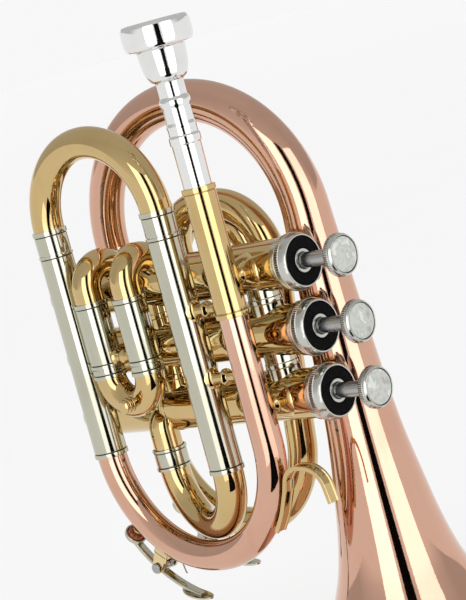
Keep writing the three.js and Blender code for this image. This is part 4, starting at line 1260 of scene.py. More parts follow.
@dataclass
class Leadpipe:
    """The receiver and the rose pipe that turns round the front bow."""

    receiver_low: float = -14.1
    receiver_high: float = 38.4
    receiver_radius: float = 6.4
    receiver_foot: Outline = ((0.45, 0), (0.45, 1.9), (-0.2, 2.1), (0, 2.5))
    receiver_head: Outline = ((0, -2.6), (-0.2, -2.3), (0.45, -2.0), (0.45, 0))
    receiver_edge: float = 0.2
    socket: Outline = ((6.0, 38.4), (5.2, 15.0))
    socket_foot: float = 12.0
    pipe_top: float = -11.7
    top_radius: float = 5.65
    middle_radius: float = 5.95
    middle: float = -60.0
    spring: float = -65.7
    left_end: float = -56.0
    sleeve_feet: tuple[float, float] = (-66.5, -76.5)
    sleeve_proud: float = 0.28
    top_ring: float = 1.2

    def build(self) -> None:
        """Makes the receiver, the pipe and both tuning sleeves."""
        foot, radius = at(MOUTH_X, FRONT_Y, 0), self.receiver_radius
        bore = self.top_radius + BORES.seat
        skin = turned([
            (bore, self.receiver_low), *moved(self.receiver_foot, radius, self.receiver_low),
            *moved(self.receiver_head, radius, self.receiver_high), *self.socket,
            (bore, self.socket_foot),
        ], foot, Z, edge=self.receiver_edge)
        fit("mouthpiece_receiver", skin, Finish.BRASS, Body.INSTRUMENT, "receiver")
        route = u_route(foot, at(LEFT_X, FRONT_Y, 0), -Z, self.pipe_top, -self.spring, -self.left_end)
        top = -self.pipe_top
        sizes = stepped([
            (0, self.top_radius), (top - self.receiver_low, self.top_radius),
            (top - self.middle, self.middle_radius), (top - self.spring, BORES.tube),
        ])
        fit("front_pipe", route.tube(sizes, BORES.wall), Finish.ROSE, Body.INSTRUMENT, "leadpipe")
        for name, x, end in zip(("left", "right"), (LEFT_X, RIGHT_X), self.sleeve_feet):
            skin = grooved_sleeve(
                BORES.sleeve_bore, BORES.sleeve, self.sleeve_proud, end, SLEEVE_TOP,
                at(x, FRONT_Y, 0), Z,
                [(end, end + BORES.ring), (SLEEVE_TOP - self.top_ring, SLEEVE_TOP)],
            )
            fit(f"outer_sleeve_{name}", skin, Finish.NICKEL, Body.INSTRUMENT, f"tuning_sleeve_{name}")


@dataclass
class TuningSlide:
    """The main slide: a tall bow with two ferrules and the legs inside the sleeves."""

    lift: float = 1.1
    ferrule: float = 10.3
    ferrule_bore: float = 6.0
    ferrule_ring: float = 2.0
    overlap: float = 2.2
    leg_end: float = -45.0
    leg_rise: float = 2.0
    bow: float = 6.6
    bow_wall: float = 0.8

    def build(self) -> None:
        """Makes the bow, the ferrules and the inner legs."""
        left, right = at(LEFT_X, FRONT_Y, SLEEVE_TOP), at(RIGHT_X, FRONT_Y, SLEEVE_TOP)
        end = self.ferrule - self.overlap
        route = u_route(left, right, Z, end, self.ferrule - self.lift, end)
        fit("tall_bow", route.tube(self.bow, self.bow_wall), Finish.BRASS, Body.TUNING, "tuning_slide")
        for name, foot in (("left", left), ("right", right)):
            skin = grooved_sleeve(
                self.ferrule_bore, BORES.sleeve, BORES.gap, BORES.gap, self.ferrule, foot, Z,
                [(self.ferrule - self.ferrule_ring, self.ferrule)],
            )
            fit(f"tall_ferrule_{name}", skin, Finish.NICKEL, Body.TUNING, "tuning_slide")
            leg = Route([foot + Z * (self.leg_end - SLEEVE_TOP), foot + Z * self.leg_rise], [Z, Z])
            fit(f"tall_leg_{name}", leg.tube(BORES.tube, BORES.wall), Finish.NICKEL, Body.TUNING,
                "tuning_slide")


@dataclass
class LowerBow:
    """The bow from the right sleeve slantwise under the valves, and its ferrule."""

    radius: float = 6.4
    start: float = 67.0
    spring: float = 76.8
    end: float = 75.2
    swell: tuple[float, float] = (9.5, 9.8)
    inlet_x: float = -96.0
    inlet_y: float = -8.2
    ferrule_bore: float = 6.7
    ferrule: float = 7.1
    ferrule_low: float = -77.6
    ferrule_high: float = -68.5
    low_ring: float = 1.2
    high_ring: float = 1.1

    def build(self) -> None:
        """Makes the bow and the ferrule that joins it to the third valve."""
        foot = at(self.inlet_x, self.inlet_y, 0)
        route = u_route(at(RIGHT_X, FRONT_Y, 0), foot, -Z, self.start, self.spring, self.end)
        sizes = stepped([(0, BORES.tube), (self.swell[0], BORES.tube), (self.swell[1], self.radius)])
        fit("slanting_bow", route.tube(sizes, BORES.wall), Finish.BRASS, Body.INSTRUMENT, "lower_bow")
        low, high = self.ferrule_low, self.ferrule_high
        skin = grooved_sleeve(
            self.ferrule_bore, self.ferrule, BORES.gap, low, high, foot, Z,
            [(low, low + self.low_ring), (high - self.high_ring, high)],
        )
        fit("low_ferrule", skin, Finish.NICKEL, Body.INSTRUMENT, "inlet_ferrule")


@dataclass
class ValveSlide:
    """A valve's own slide: a bow with two ferrules and inner legs."""

    name: str
    body: Body
    node: str
    left: Vector
    right: Vector
    out: Vector
    leg: float
    rise: float = 0.0
    ferrule: float = 4.6
    ferrule_bore: float = 5.7
    ferrule_ring: float = 1.5
    leg_rise: float = 2.0
    bow_wall: float = 0.7

    def build(self) -> None:
        """Makes the bow, the ferrules and the legs."""
        end = self.ferrule - self.ferrule_ring
        route = u_route(self.left, self.right, self.out, end, self.ferrule + self.rise, end)
        bow = route.tube(BORES.side_bow, self.bow_wall)
        fit(f"{self.name}_bow", bow, Finish.BRASS, self.body, self.node)
        for side, foot in (("left", self.left), ("right", self.right)):
            skin = grooved_sleeve(
                self.ferrule_bore, BORES.side_sleeve, BORES.bite, BORES.gap, self.ferrule, foot,
                self.out, [(end, self.ferrule)],
            )
            fit(f"{self.name}_ferrule_{side}", skin, Finish.NICKEL, self.body, self.node)
            leg = Route([foot - self.out * self.leg, foot + self.out * self.leg_rise],
                        [self.out, self.out])
            fit(f"{self.name}_leg_{side}", leg.tube(BORES.side, BORES.wall), Finish.NICKEL, self.body,
                self.node)


@dataclass
class SideSleeves:
    """The outer sleeves of the first and third slides, with the bars between them."""

    first_x: tuple[float, float] = (-101.3, -77.8)
    first_y: float = -24.0
    first_ends: tuple[float, float] = (-27.7, 0.0)
    first_bar: tuple[float, float] = (24.5, 2.4)
    third_x: tuple[float, float] = (-106.0, -58.2)
    third_y: float = 33.0
    third_ends: tuple[float, float] = (-42.7, -18.0)
    third_bar: tuple[float, float] = (38.5, 1.8)
    proud: float = 0.3
    low_ring: float = 1.3
    bar_flange: tuple[float, float] = (1.2, 1.4)
    bar_bead: float = 0.8
    bar_edge: float = 0.7
    post: Outline = (
        (0, 0.5), (2.0, 0.5), (2.0, 5.0), (3.0, 6.2), (2.0, 7.4), (2.0, 13.2), (0, 13.2),
    )
    post_x: float = -89.5
    post_edge: float = 0.8
    pad_tube: float = 10.75
    pad: float = 6.4
    pad_edge: float = 1.3
    pad_middle: float = 2.0

    def build(self) -> None:
        """Makes both pairs and their bars."""
        first = [at(x, self.first_y, 0) for x in self.first_x]
        third = [at(x, self.third_y, 0) for x in self.third_x]
        self.build_pair("first", first, self.first_ends)
        self.build_pair("third", third, self.third_ends)
        self.build_bar("first", first, self.first_bar)
        self.build_bar("third", third, self.third_bar)
        place = at(self.post_x, self.first_y, -self.first_bar[0])
        post = turned(self.post, place, Y, edge=self.post_edge)
        fit("first_post", post, Finish.BRASS, Body.INSTRUMENT, "first_sleeves")
        pad = saddle(place, Y, -self.first_y, X, self.pad_tube, self.pad, self.pad_edge,
                     self.pad_middle)
        fit("first_pad", pad, Finish.BRASS, Body.INSTRUMENT, "first_sleeves")

    def build_pair(self, name: str, feet: list[Vector], ends: tuple[float, float]) -> None:
        """Makes a pair of sleeves.

        Args:
            name: The slide's name.
            feet: The points on both axes where heights are zero.
            ends: The heights between which the sleeves run.
        """
        low, high = ends
        for side, foot in zip(("left", "right"), feet):
            skin = grooved_sleeve(
                BORES.side_sleeve_bore, BORES.side_sleeve, self.proud, low, high, foot, Z,
                [(low, low + self.low_ring), (high - BORES.ring, high)],
            )
            fit(f"{name}_sleeve_{side}", skin, Finish.NICKEL, Body.INSTRUMENT, f"{name}_sleeves")

    def build_bar(self, name: str, feet: list[Vector], bar: tuple[float, float]) -> None:
        """Makes a turned bar between two sleeves.

        Args:
            name: The slide's name.
            feet: The points on both axes where heights are zero.
            bar: How far the bar lies under them, and its radius.
        """
        drop, radius = bar
        start, end = (foot - Z * drop for foot in feet)
        wide, taper = self.bar_flange
        length = (end - start).length
        low = BORES.side_sleeve - BORES.bite
        high, middle = length - low, length / 2
        skin = turned([
            (0, low), (radius + wide, low), (radius, low + taper), (radius, middle - taper),
            (radius + self.bar_bead, middle), (radius, middle + taper), (radius, high - taper),
            (radius + wide, high), (0, high),
        ], start, (end - start).normalized(), edge=self.bar_edge)
        fit(f"{name}_bar", skin, Finish.BRASS, Body.INSTRUMENT, f"{name}_sleeves")


@dataclass
class Bell:
    """The bell in rose brass: flare, bow over the valves, tail and wired rim."""

    x: float = -15.9
    y: float = 25.2
    tail_x: float = -125.2
    tail_y: float = 17.3
    spring: float = 15.6
    tail_end: float = 12.3
    rim_z: float = -168.0
    rim: float = 54.0
    throat: float = 9.9
    tail: float = 7.35
    wall: float = 0.6
    bead: float = 1.45
    bead_sides: int = 20
    sides: int = 128
    flare_shares: Outline = (
        (0, 1), (0.003, 0.973), (0.01, 0.884), (0.025, 0.772), (0.05, 0.662),
        (0.085, 0.562), (0.13, 0.465), (0.2, 0.35), (0.283, 0.266), (0.3595, 0.212),
        (0.5147, 0.12), (0.7516, 0.052), (1, 0),
    )
    flare_steps: int = 7
    ferrule_bore: float = 6.6
    ferrule: float = 8.15
    ferrule_proud: float = 0.25
    ferrule_bands: Outline = ((5.5, 7.0), (14.0, 15.4))

    def radius_at(self, z: float) -> float:
        """The flare's radius at a height, along its straight stretches."""
        share = (z - self.rim_z) / (self.spring - self.rim_z)
        return self.throat + (self.rim - self.throat) * stepped(self.flare_shares)(share)

    def build(self) -> None:
        """Makes the bell's one tube with its rolled rim, and the ferrule on its tail."""
        height = self.spring - self.rim_z
        fine = fluent(self.flare_shares, self.flare_steps)
        places = [at(self.x, self.y, self.rim_z + place * height) for place, _ in fine]
        sizes = [self.throat + (self.rim - self.throat) * radius for _, radius in fine]
        bow = u_route(at(self.x, self.y, 0), at(self.tail_x, self.tail_y, 0), Z, 0, self.spring,
                      self.tail_end)
        # The flare ends where the bow's arc starts, so the bow's first two places are left out.
        count = len(bow.places) - 3
        places += bow.places[2:]
        headings = [Z.copy() for _ in fine] + bow.headings[2:]
        sizes += [self.throat + (self.tail - self.throat) * min(1, (k + 1) / count)
                  for k in range(count + 1)]
        route = Route(places, headings)
        radius = stepped(list(zip(route.lengths(), sizes)))
        skin = route.tube(radius, self.wall, self.sides)
        fit("bell_tube", skin, Finish.ROSE, Body.INSTRUMENT, "bell")
        wire = [
            (self.rim + self.bead * math.cos(a), self.rim_z + self.bead * math.sin(a))
            for a in (2 * math.pi * i / self.bead_sides for i in range(self.bead_sides))
        ]
        bead = turned(wire, at(self.x, self.y, 0), Z, self.sides, 0)
        fit("bell_rim_wire", bead, Finish.ROSE, Body.INSTRUMENT, "bell")
        bands = self.ferrule_bands
        skin = grooved_sleeve(
            self.ferrule_bore, self.ferrule, self.ferrule_proud, bands[0][0], bands[-1][1],
            at(self.tail_x, self.tail_y, 0), Z, bands,
        )
        fit("tail_collar", skin, Finish.NICKEL, Body.INSTRUMENT, "tail_ferrule")


@dataclass
class Wrap:
    """The extra turn of tubing behind the valves, and the crook into the first valve."""

    top: float = 11.7
    bottom: float = -111.2
    bend: float = 40.2
    corner_x: float = -49.4
    end_x: float = -35.0
    end_y: float = 19.0
    end_z: float = -3.0
    crook_x: float = -31.0
    crook_z: float = 26.0
    crook_bends: tuple[float, ...] = (26.0, 18.0, 7.8)
    port_x: float = -88.0
    port_y: float = 11.2
    collar: Outline = ((6.35, -4), (6.9, -4), (7.0, -3.2), (7.0, 3.2), (6.9, 4), (6.35, 4))
    collar_edge: float = 0.3

    def build(self, bell: Bell) -> None:
        """Makes both tubes, from the bell's tail on.

        Args:
            bell: The bell, whose tail the first tube leaves.
        """
        corners = [
            at(bell.tail_x, bell.tail_y, self.top), at(bell.tail_x, bell.tail_y, self.bottom),
            at(self.corner_x, bell.tail_y, self.bottom), at(self.end_x, self.end_y, self.end_z),
        ]
        route = cornered(corners, [self.bend, self.bend])
        fit("rear_wrap", route.tube(BORES.tube), Finish.BRASS, Body.INSTRUMENT, "wrap_tube")
        corners = [
            at(self.end_x, self.end_y, self.end_z + BORES.seat),
            at(self.crook_x, self.end_y, self.crook_z), at(self.port_x, self.end_y, self.crook_z),
            at(self.port_x, self.end_y, 0), at(self.port_x, self.port_y, 0),
        ]
        route = cornered(corners, self.crook_bends)
        fit("top_crook", route.tube(BORES.tube), Finish.BRASS, Body.INSTRUMENT, "rear_crook")
        heading = (corners[1] - corners[0]).normalized()
        collar = turned(self.collar, corners[0], heading, edge=self.collar_edge)
        fit("wrap_collar", collar, Finish.NICKEL, Body.INSTRUMENT, "rear_crook")


def disc_faces(rings: int, around: int) -> list[tuple[int, ...]]:
    """Joins two round layers of points into a closed plate.

    Args:
        rings: How many steps each layer has from its centre to its edge.
        around: How many points go round.

    Returns:
        The faces, for points that are numbered layer by layer and ring by ring.
    """
    faces = []
    for layer in (0, 1):
        shift = layer * (rings + 1) * around
        for i in range(rings):
            for j in range(around):
                k = (j + 1) % around
                a, b = shift + i * around, shift + (i + 1) * around
                faces.append((a + j, a + k, b + k, b + j))
    edge, top = rings * around, (2 * rings + 1) * around
    faces += [(edge + j, edge + (j + 1) % around, top + (j + 1) % around, top + j)
              for j in range(around)]
    return faces


SADDLE_RINGS = 9
SADDLE_SIDES = 48
# A saddle reaches at most this share of the tube's radius to each side.
SADDLE_WRAP_SHARE = 0.985


def saddle(
    start: Vector, way: Vector, reach: float, axis: Vector, tube: float, radius: float,
    thickness: float, rim: float,
) -> Skin:
    """A round pad that lies on a tube like a saddle, thick in the middle.

    Args:
        start: The point where the post starts.
        way: The way of the post, of length one.
        reach: How far along the post the tube's axis lies.
        axis: The tube's axis.
        tube: The radius of the pad's underside round that axis.
        radius: The pad's own radius.
        thickness: Its thickness at the edge.
        rim: How much thicker it is at the post.

    Returns:
        The pad.
    """
    centre = start + way * reach
    side = axis.cross(way)
    points: list[Vector] = []
    for layer in (0.0, 1.0):
        for i in range(SADDLE_RINGS + 1):
            share = i / SADDLE_RINGS
            for j in range(SADDLE_SIDES):
                angle = 2 * math.pi * j / SADDLE_SIDES
                u, v = radius * share * math.cos(angle), radius * share * math.sin(angle)
                v = math.copysign(min(abs(v), tube * SADDLE_WRAP_SHARE), v)
                swell = thickness * (1 - share ** 6) + rim * (1 - share) ** 2
                high = math.sqrt(max(0.0, (tube + layer * swell) ** 2 - v ** 2))
                points.append(centre - way * high + axis * u + side * v)
    return Skin(points, disc_faces(SADDLE_RINGS, SADDLE_SIDES))


@dataclass(frozen=True)
class Seat:
    """A tube that a brace stands on."""

    place: Vector
    axis: Vector
    radius: float


@dataclass
class Braces:
    """The turned posts between the tubes, the casings and the bell.

    A slide brace has its height and the radius that it seats on, which is zero on the leadpipe.
    """

    rod: float = 2.4
    bead: float = 3.5
    flare: tuple[float, float] = (0.5, 1.3)
    neck: tuple[float, float] = (0.3, 1.7)
    bead_half: float = 0.5
    edge: float = 0.6
    lift: float = 0.05
    pad_edge: float = 0.9
    pad_middle: float = 0.8
    foot: float = 3.9
    foot_edge: float = 0.8
    foot_middle: float = 0.6
    leadpipe_pad: float = 7.6
    slide_pad: float = 4.4
    bell_pad: float = 6.0
    sleeve_pad: float = 6.5
    slide_places: tuple[tuple[float, float], ...] = ((-10.0, 6.85), (-38.0, 0.0))
    sleeve_z: float = -20.0

    def build(self, bell: Bell) -> None:
        """Makes every brace.

        Args:
            bell: The bell, which two of them carry.
        """
        casing = BORES.casing
        pipe = stepped([(0, Leadpipe.top_radius), (-Leadpipe.middle, Leadpipe.middle_radius)])
        for index, receiver in ((0, Leadpipe.receiver_radius), (2, 0.0)):
            z = -PITCH * index
            self.post(
                f"leadpipe_post_{index + 1}", Seat(at(MOUTH_X, 0, z), X, casing),
                Seat(at(MOUTH_X, FRONT_Y, z), Z, receiver or pipe(-z)), self.leadpipe_pad,
                f"leadpipe_brace_{index + 1}",
            )
        for number, (z, receiver) in enumerate(self.slide_places):
            self.post(
                f"slide_post_{number + 1}", Seat(at(RIGHT_X, FRONT_Y, z), Z, BORES.sleeve),
                Seat(at(MOUTH_X, FRONT_Y, z), Z, receiver or pipe(-z)), self.slide_pad,
                f"slide_brace_{number + 1}",
            )
        for index in (0, 1):
            z = -PITCH * index
            self.post(
                f"bell_post_{index + 1}", Seat(at(bell.x, 0, z), X, casing),
                Seat(at(bell.x, bell.y, z), Z, bell.radius_at(z)), self.bell_pad,
                f"bell_brace_{index + 1}",
            )
        self.post(
            "sleeve_post", Seat(at(LEFT_X, FRONT_Y, self.sleeve_z), Z, BORES.sleeve),
            Seat(at(LEFT_X, 0, -PITCH), X, casing), self.sleeve_pad, "sleeve_brace",
        )

    def post(self, name: str, first: Seat, second: Seat, flange: float, node: str) -> None:
        """Makes one brace: a baluster with a pad at each end.

        Args:
            name: The brace's name.
            first: The tube that it starts from.
            second: The tube that it reaches, whose pad is the large one.
            flange: The radius of that pad.
            node: The solid that the brace stands for.
        """
        way = second.place - first.place
        length = way.length
        way.normalize()
        low, high = first.radius - BORES.seat, length - second.radius + BORES.seat
        middle, slim = (low + high) / 2, self.rod - self.neck[0]
        wide, taper = self.rod + self.flare[0], self.flare[1]
        shaft = turned([
            (0, low), (wide, low), (self.rod, low + taper), (slim, middle - self.neck[1]),
            (self.bead, middle - self.bead_half), (self.bead, middle + self.bead_half),
            (slim, middle + self.neck[1]), (self.rod, high - taper), (wide, high), (0, high),
        ], first.place, way, edge=self.edge)
        pad = saddle(second.place, -way, length, first.axis, first.radius + self.lift, flange,
                     self.pad_edge, self.pad_middle)
        foot = saddle(first.place, way, length, second.axis, second.radius + self.lift, self.foot,
                      self.foot_edge, self.foot_middle)
        fit(name, shaft, Finish.BRASS, Body.INSTRUMENT, node)
        fit(f"{name}_pad", pad, Finish.BRASS, Body.INSTRUMENT, node)
        fit(f"{name}_foot", foot, Finish.BRASS, Body.INSTRUMENT, node)


@dataclass(frozen=True)
class Bow:
    """A half circle of tube in a plane of X and Z that carries a water key."""

    x: float
    y: float
    z: float
    bend: float
    radius: float = BORES.tube

    @property
    def centre(self) -> Vector:
        """The centre of the half circle."""
        return at(self.x, self.y, self.z)

    def at_angle(self, degrees: float, distance: float) -> Vector:
        """The point at an angle round the bow and a distance from its centre."""
        angle = math.radians(degrees)
        return at(self.x + distance * math.cos(angle), self.y, self.z + distance * math.sin(angle))

    def outward(self, degrees: float) -> Vector:
        """The way out from the centre at an angle."""
        angle = math.radians(degrees)
        return at(math.cos(angle), 0, math.sin(angle))


FRONT_BOW = Bow((MOUTH_X + LEFT_X) / 2, FRONT_Y, Leadpipe.spring, (MOUTH_X - LEFT_X) / 2)
REAR_BOW = Bow(Bell.tail_x + Wrap.bend, Bell.tail_y, Wrap.bottom + Wrap.bend, Wrap.bend)


@dataclass
class FingerHook:
    """The curved hook for the little finger, soldered to the front bow."""

    width: float = 5.4
    thickness: float = 1.9
    web: float = 1.0
    edge: float = 1.0
    edge_slope: float = 1.3
    corner: float = 0.3
    clear: float = 0.9
    root_degrees: tuple[float, ...] = (-42, -33, -22)
    crown: tuple[tuple[float, float], ...] = ((-15.6, -76.0), (1.4, -77.4), (3.4, -91.4))
    bends: tuple[float, ...] = (27.0, 7.0, 8.5, 9.5)

    def build(self) -> None:
        """Makes the hook from one bent strip."""
        bow = FRONT_BOW
        reach = bow.bend + bow.radius + 2 * self.clear
        corners = [bow.at_angle(degrees, reach) for degrees in self.root_degrees]
        corners += [at(x, FRONT_Y, z) for x, z in self.crown]
        skin = cornered(corners, self.bends).section(self.strip())
        fit("little_finger_hook", skin, Finish.BRASS, Body.INSTRUMENT, "finger_hook")

    def strip(self) -> list[tuple[float, float]]:
        """Draws the strip's section: a thin web between two raised edges.

        Returns:
            The section's outline.
        """
        half, thick, web, edge = self.width / 2, self.thickness / 2, self.web / 2, self.edge
        upper = [(half, thick), (half - edge, thick), (half - edge * self.edge_slope, web)]
        upper += [(-u, v) for u, v in reversed(upper)]
        return rounded(upper + [(-u, -v) for u, v in upper], self.corner, True)


@dataclass
class WaterKey:
    """A spring-loaded key that closes a drain hole with a cork."""

    number: int
    bow: Bow
    cork_at: float
    pivot_at: float
    thumb_at: float
    nipple: float = 3.2
    nipple_rim: Outline = ((1.6, -1.2), (3.6, -1.2), (2.8, 0.9), (2.6, 3.2), (1.6, 3.2))
    cork: float = 3.7
    cork_bevel: float = 0.4
    cork_depth: float = 2.4
    cup_gap: float = 0.3
    cup_rim: Outline = (
        (0, 0.3), (0, -1.2), (0.8, -1.2), (0.8, 0.5), (-0.6, 1.5),
    )
    cup_top: float = 1.7
    cup_edge: float = 0.5
    turning_edge: float = 0.3
    arm_steps: int = 36
    arm: tuple[float, float] = (2.0, 0.8)
    arm_edge: float = 0.6
    arm_seat: float = 0.85
    arm_rise: float = 4.4
    hub: Outline = ((1.5, -2), (2.6, -2), (2.6, 2), (1.5, 2))
    hub_edge: float = 0.4
    thumb: tuple[float, float] = (8.2, 4.0)
    thumb_half: float = 0.8
    thumb_thinning_share: float = 0.55
    thumb_rise: float = 0.6
    thumb_back: float = 3.2
    thumb_reach: float = 4.65
    thumb_rings: int = 8
    thumb_sides: int = 40
    base: tuple[float, float] = (-2.4, 1.6)
    base_shift: float = 1.0
    base_width: float = 4.5
    base_length: float = 3.8
    lug: float = 2.6
    lug_foot: Outline = ((-3.2, 1.0), (3.2, 1.0))
    lug_steps: int = 12
    lug_thickness: float = 1.2
    lug_places: tuple[tuple[str, float], ...] = (("near", -3.5), ("far", 5.2))
    pivot_height: float = 8.0
    screw: Outline = (
        (0, -4.7), (1.9, -4.8), (2.2, -4.4), (2.2, -3.8), (1.2, -3.8), (1.2, 6.4), (0.9, 6.6),
        (0, 6.6),
    )
    screw_sides: int = 48
    screw_edge: float = 0.2
    spring_radius: float = 2.0
    spring_wire: float = 0.3
    spring_turns: float = 3
    spring_ends: tuple[float, float] = (2.6, 4.6)
    leg_places: tuple[tuple[float, float, float], ...] = (
        (4.6, 0, -2), (4.6, 6, -4), (3, 11, -1.6), (1, 12.5, -4),
    )
    leg_bends: tuple[float, float] = (1.6, 1.2)

    @property
    def body(self) -> Body:
        """The body that the key rides."""
        return Body(f"water_key_{self.number}")

    @property
    def lever(self) -> str:
        """The solid that the lever's pieces stand for."""
        return f"water_key_lever_{self.number}"

    @property
    def surface(self) -> float:
        """The distance from the bow's centre to the tube's outer surface."""
        return self.bow.bend + self.bow.radius

    @property
    def cork_foot(self) -> float:
        """The distance from the bow's centre to the cork's face."""
        return self.surface + self.nipple + BORES.seat

    @property
    def arm_foot(self) -> float:
        """The distance from the bow's centre to the arm's middle over the cork."""
        return self.cork_foot + self.cork_depth + self.thumb_half + self.arm_seat

    @property
    def pivot(self) -> Vector:
        """The middle of the hinge."""
        return self.bow.at_angle(self.pivot_at, self.surface + self.pivot_height)

    def build(self) -> None:
        """Makes the nipple, cork, lever, saddle, screw and spring."""
        self.build_cup()
        self.build_lever()
        self.build_thumb()
        self.build_saddle()
        self.build_screw()

    def build_cup(self) -> None:
        """Makes the nipple on the bow, and the cork in its cup."""
        n, centre = self.number, self.bow.centre
        out = self.bow.outward(self.cork_at)
        nipple = turned(moved(self.nipple_rim, 0, self.surface), centre, out, edge=self.turning_edge)
        node = "leadpipe" if n == 1 else "wrap_tube"
        fit(f"drain_nipple_{n}", nipple, Finish.BRASS, Body.INSTRUMENT, node)
        foot, bevel = self.cork_foot, self.cork_bevel
        top = foot + self.cork_depth
        cork = turned([
            (0, foot), (self.cork - bevel, foot), (self.cork, foot + bevel), (self.cork, top),
            (0, top),
        ], centre, out, edge=self.turning_edge)
        fit(f"cork_pad_{n}", cork, Finish.CORK, self.body, f"water_key_cork_{n}")
        edge = self.cork + self.cup_gap
        cup = turned([
            (0, top + self.cup_gap), *moved(self.cup_rim, edge, top), (0, top + self.cup_top),
        ], centre, out, edge=self.cup_edge)
        fit(f"key_cup_{n}", cup, Finish.NICKEL, self.body, self.lever)

    def build_lever(self) -> None:
        """Makes the lever's arm and its hub."""
        n, count = self.number, self.arm_steps
        places, along = [], []
        for i in range(count + 1):
            share = i / count
            degrees = self.cork_at + (self.thumb_at - self.cork_at) * share
            places.append(self.bow.at_angle(degrees, self.arm_foot + self.arm_rise * share))
        for i in range(count + 1):
            a, b = places[max(0, i - 1)], places[min(count, i + 1)]
            along.append((b - a).normalized())
        half, thick = self.arm
        arm = rounded([(-half, -thick), (half, -thick), (half, thick), (-half, thick)],
                      self.arm_edge, True)
        fit(f"key_arm_{n}", Route(places, along).section(arm), Finish.NICKEL, self.body, self.lever)
        hub = turned(self.hub, self.pivot, Y, self.screw_sides, self.hub_edge)
        fit(f"key_hub_{n}", hub, Finish.NICKEL, self.body, self.lever)

    def build_thumb(self) -> None:
        """Makes the oval thumb plate, dished and thin at its edge."""
        middle = self.thumb_at - self.thumb_back
        out = self.bow.outward(middle)
        ahead = Y.cross(out)
        height = self.arm_foot + self.thumb_reach
        reach = height + self.arm_seat
        centre = self.bow.at_angle(middle, height)
        points = []
        for layer in (1, -1):
            for i in range(self.thumb_rings + 1):
                share = i / self.thumb_rings
                for j in range(self.thumb_sides):
                    angle = 2 * math.pi * j / self.thumb_sides
                    u, v = self.thumb[0] * share * math.cos(angle), self.thumb[1] * share * math.sin(angle)
                    half = self.thumb_half * (1 - self.thumb_thinning_share * share ** 2)
                    lift = layer * half - u * u / (2 * reach) + self.thumb_rise
                    points.append(centre + ahead * u + Y * v + out * lift)
        skin = Skin(points, disc_faces(self.thumb_rings, self.thumb_sides))
        fit(f"thumb_plate_{self.number}", skin, Finish.NICKEL, self.body, self.lever)

    def build_saddle(self) -> None:
        """Makes the saddle on the tube and its two lugs."""
        n, centre = self.number, self.bow.centre
        out = self.bow.outward(self.pivot_at)
        ahead = Y.cross(out)
        low, high = (self.surface + height for height in self.base)
        base = box_skin(
            centre + out * ((low + high) / 2) + Y * self.base_shift, out * ((high - low) / 2),
            Y * self.base_width, ahead * self.base_length,
        )
        fit(f"key_saddle_{n}", base, Finish.BRASS, Body.INSTRUMENT, f"water_key_saddle_{n}")
        plate = [
            (self.lug * math.cos(a), self.pivot_height + self.lug * math.sin(a))
            for a in (math.pi * k / self.lug_steps for k in range(self.lug_steps + 1))
        ]
        plate += self.lug_foot
        count = len(plate)
        faces = [tuple(range(count)), tuple(count + i for i in range(count))]
        faces += [(i, (i + 1) % count, count + (i + 1) % count, count + i) for i in range(count)]
        for name, start in self.lug_places:
            points = [
                centre + out * (self.surface + h) + ahead * u + Y * y
                for y in (start, start + self.lug_thickness) for u, h in plate
            ]
            fit(f"key_lug_{name}_{n}", Skin(points, faces), Finish.BRASS, Body.INSTRUMENT,
                f"water_key_saddle_{n}")

    def build_screw(self) -> None:
        """Makes the hinge screw and the spring round it with its leg."""
        n = self.number
        screw = turned(self.screw, self.pivot, Y, self.screw_sides, self.screw_edge)
        fit(f"hinge_screw_{n}", screw, Finish.STEEL, Body.INSTRUMENT, f"water_key_pin_{n}")
        spring = coil(self.spring_radius, self.spring_wire, self.spring_turns, *self.spring_ends,
                      self.pivot, Y)
        fit(f"key_spring_{n}", spring, Finish.STEEL, Body.INSTRUMENT, f"water_key_spring_{n}")
        out = self.bow.outward(self.pivot_at)
        ahead = -Y.cross(out)
        leg = cornered([self.pivot + Y * y + ahead * u + out * h for y, u, h in self.leg_places],
                       self.leg_bends)
        fit(f"key_spring_leg_{n}", leg.tube(self.spring_wire, 0, WIRE_SIDES), Finish.STEEL,
            Body.INSTRUMENT, f"water_key_spring_{n}")


BLOCK_EDGE = 0.14


def box_skin(centre: Vector, a: Vector, b: Vector, c: Vector) -> Skin:
    """A block with chamfered edges.

    Args:
        centre: Its centre.
        a: The way from the centre to the middle of one side.
        b: The way to a second side.
        c: The way to a third side.

    Returns:
        The block.
    """
    made = bmesh.new()
    bmesh.ops.create_cube(made, size=2)
    bmesh.ops.bevel(made, geom=made.edges[:], offset=BLOCK_EDGE, segments=2, profile=0.5,
                    affect="EDGES")
    frame_of = Matrix((a, b, c)).transposed()
    points = [centre + frame_of @ vert.co for vert in made.verts]
    faces = [tuple(v.index for v in face.verts) for face in made.faces]
    made.free()
    return Skin(points, faces)


@dataclass
class PullKnob:
    """The ringed knob on the first slide's bow."""

    x: float = -84.4
    z: float = -42.86
    edge: float = 0.3
    profile: Outline = (
        (0, 5.6), (2.1, 5.6), (2.1, 7.6), (2.9, 7.8), (3.2, 8.2), (3.2, 9.1), (2.4, 9.4),
        (2.4, 9.9), (3.2, 10.2), (3.2, 11.2), (2.4, 11.5), (2.4, 11.9), (3.0, 12.2), (3.0, 12.8),
        (2.1, 13.4), (0, 13.6),
    )

    def build(self) -> None:
        """Makes the knob in one turning."""
        skin = turned(self.profile, at(self.x, SideSleeves.first_y, self.z), -Y, edge=self.edge)
        fit("pull_knob", skin, Finish.BRASS, Body.FIRST, "first_slide")


# Studio


@dataclass(frozen=True)
class Lamp:
    """A soft lamp: its turn from the camera's side, its width in metres and its radiance."""

    name: str
    turn: float
    width: float
    radiance: float


@dataclass(frozen=True)
class Sheen:
    """A bright piece of floor that only the metal sees: the turns of its sides and its glow."""

    name: str
    start: float
    end: float
    glow: float


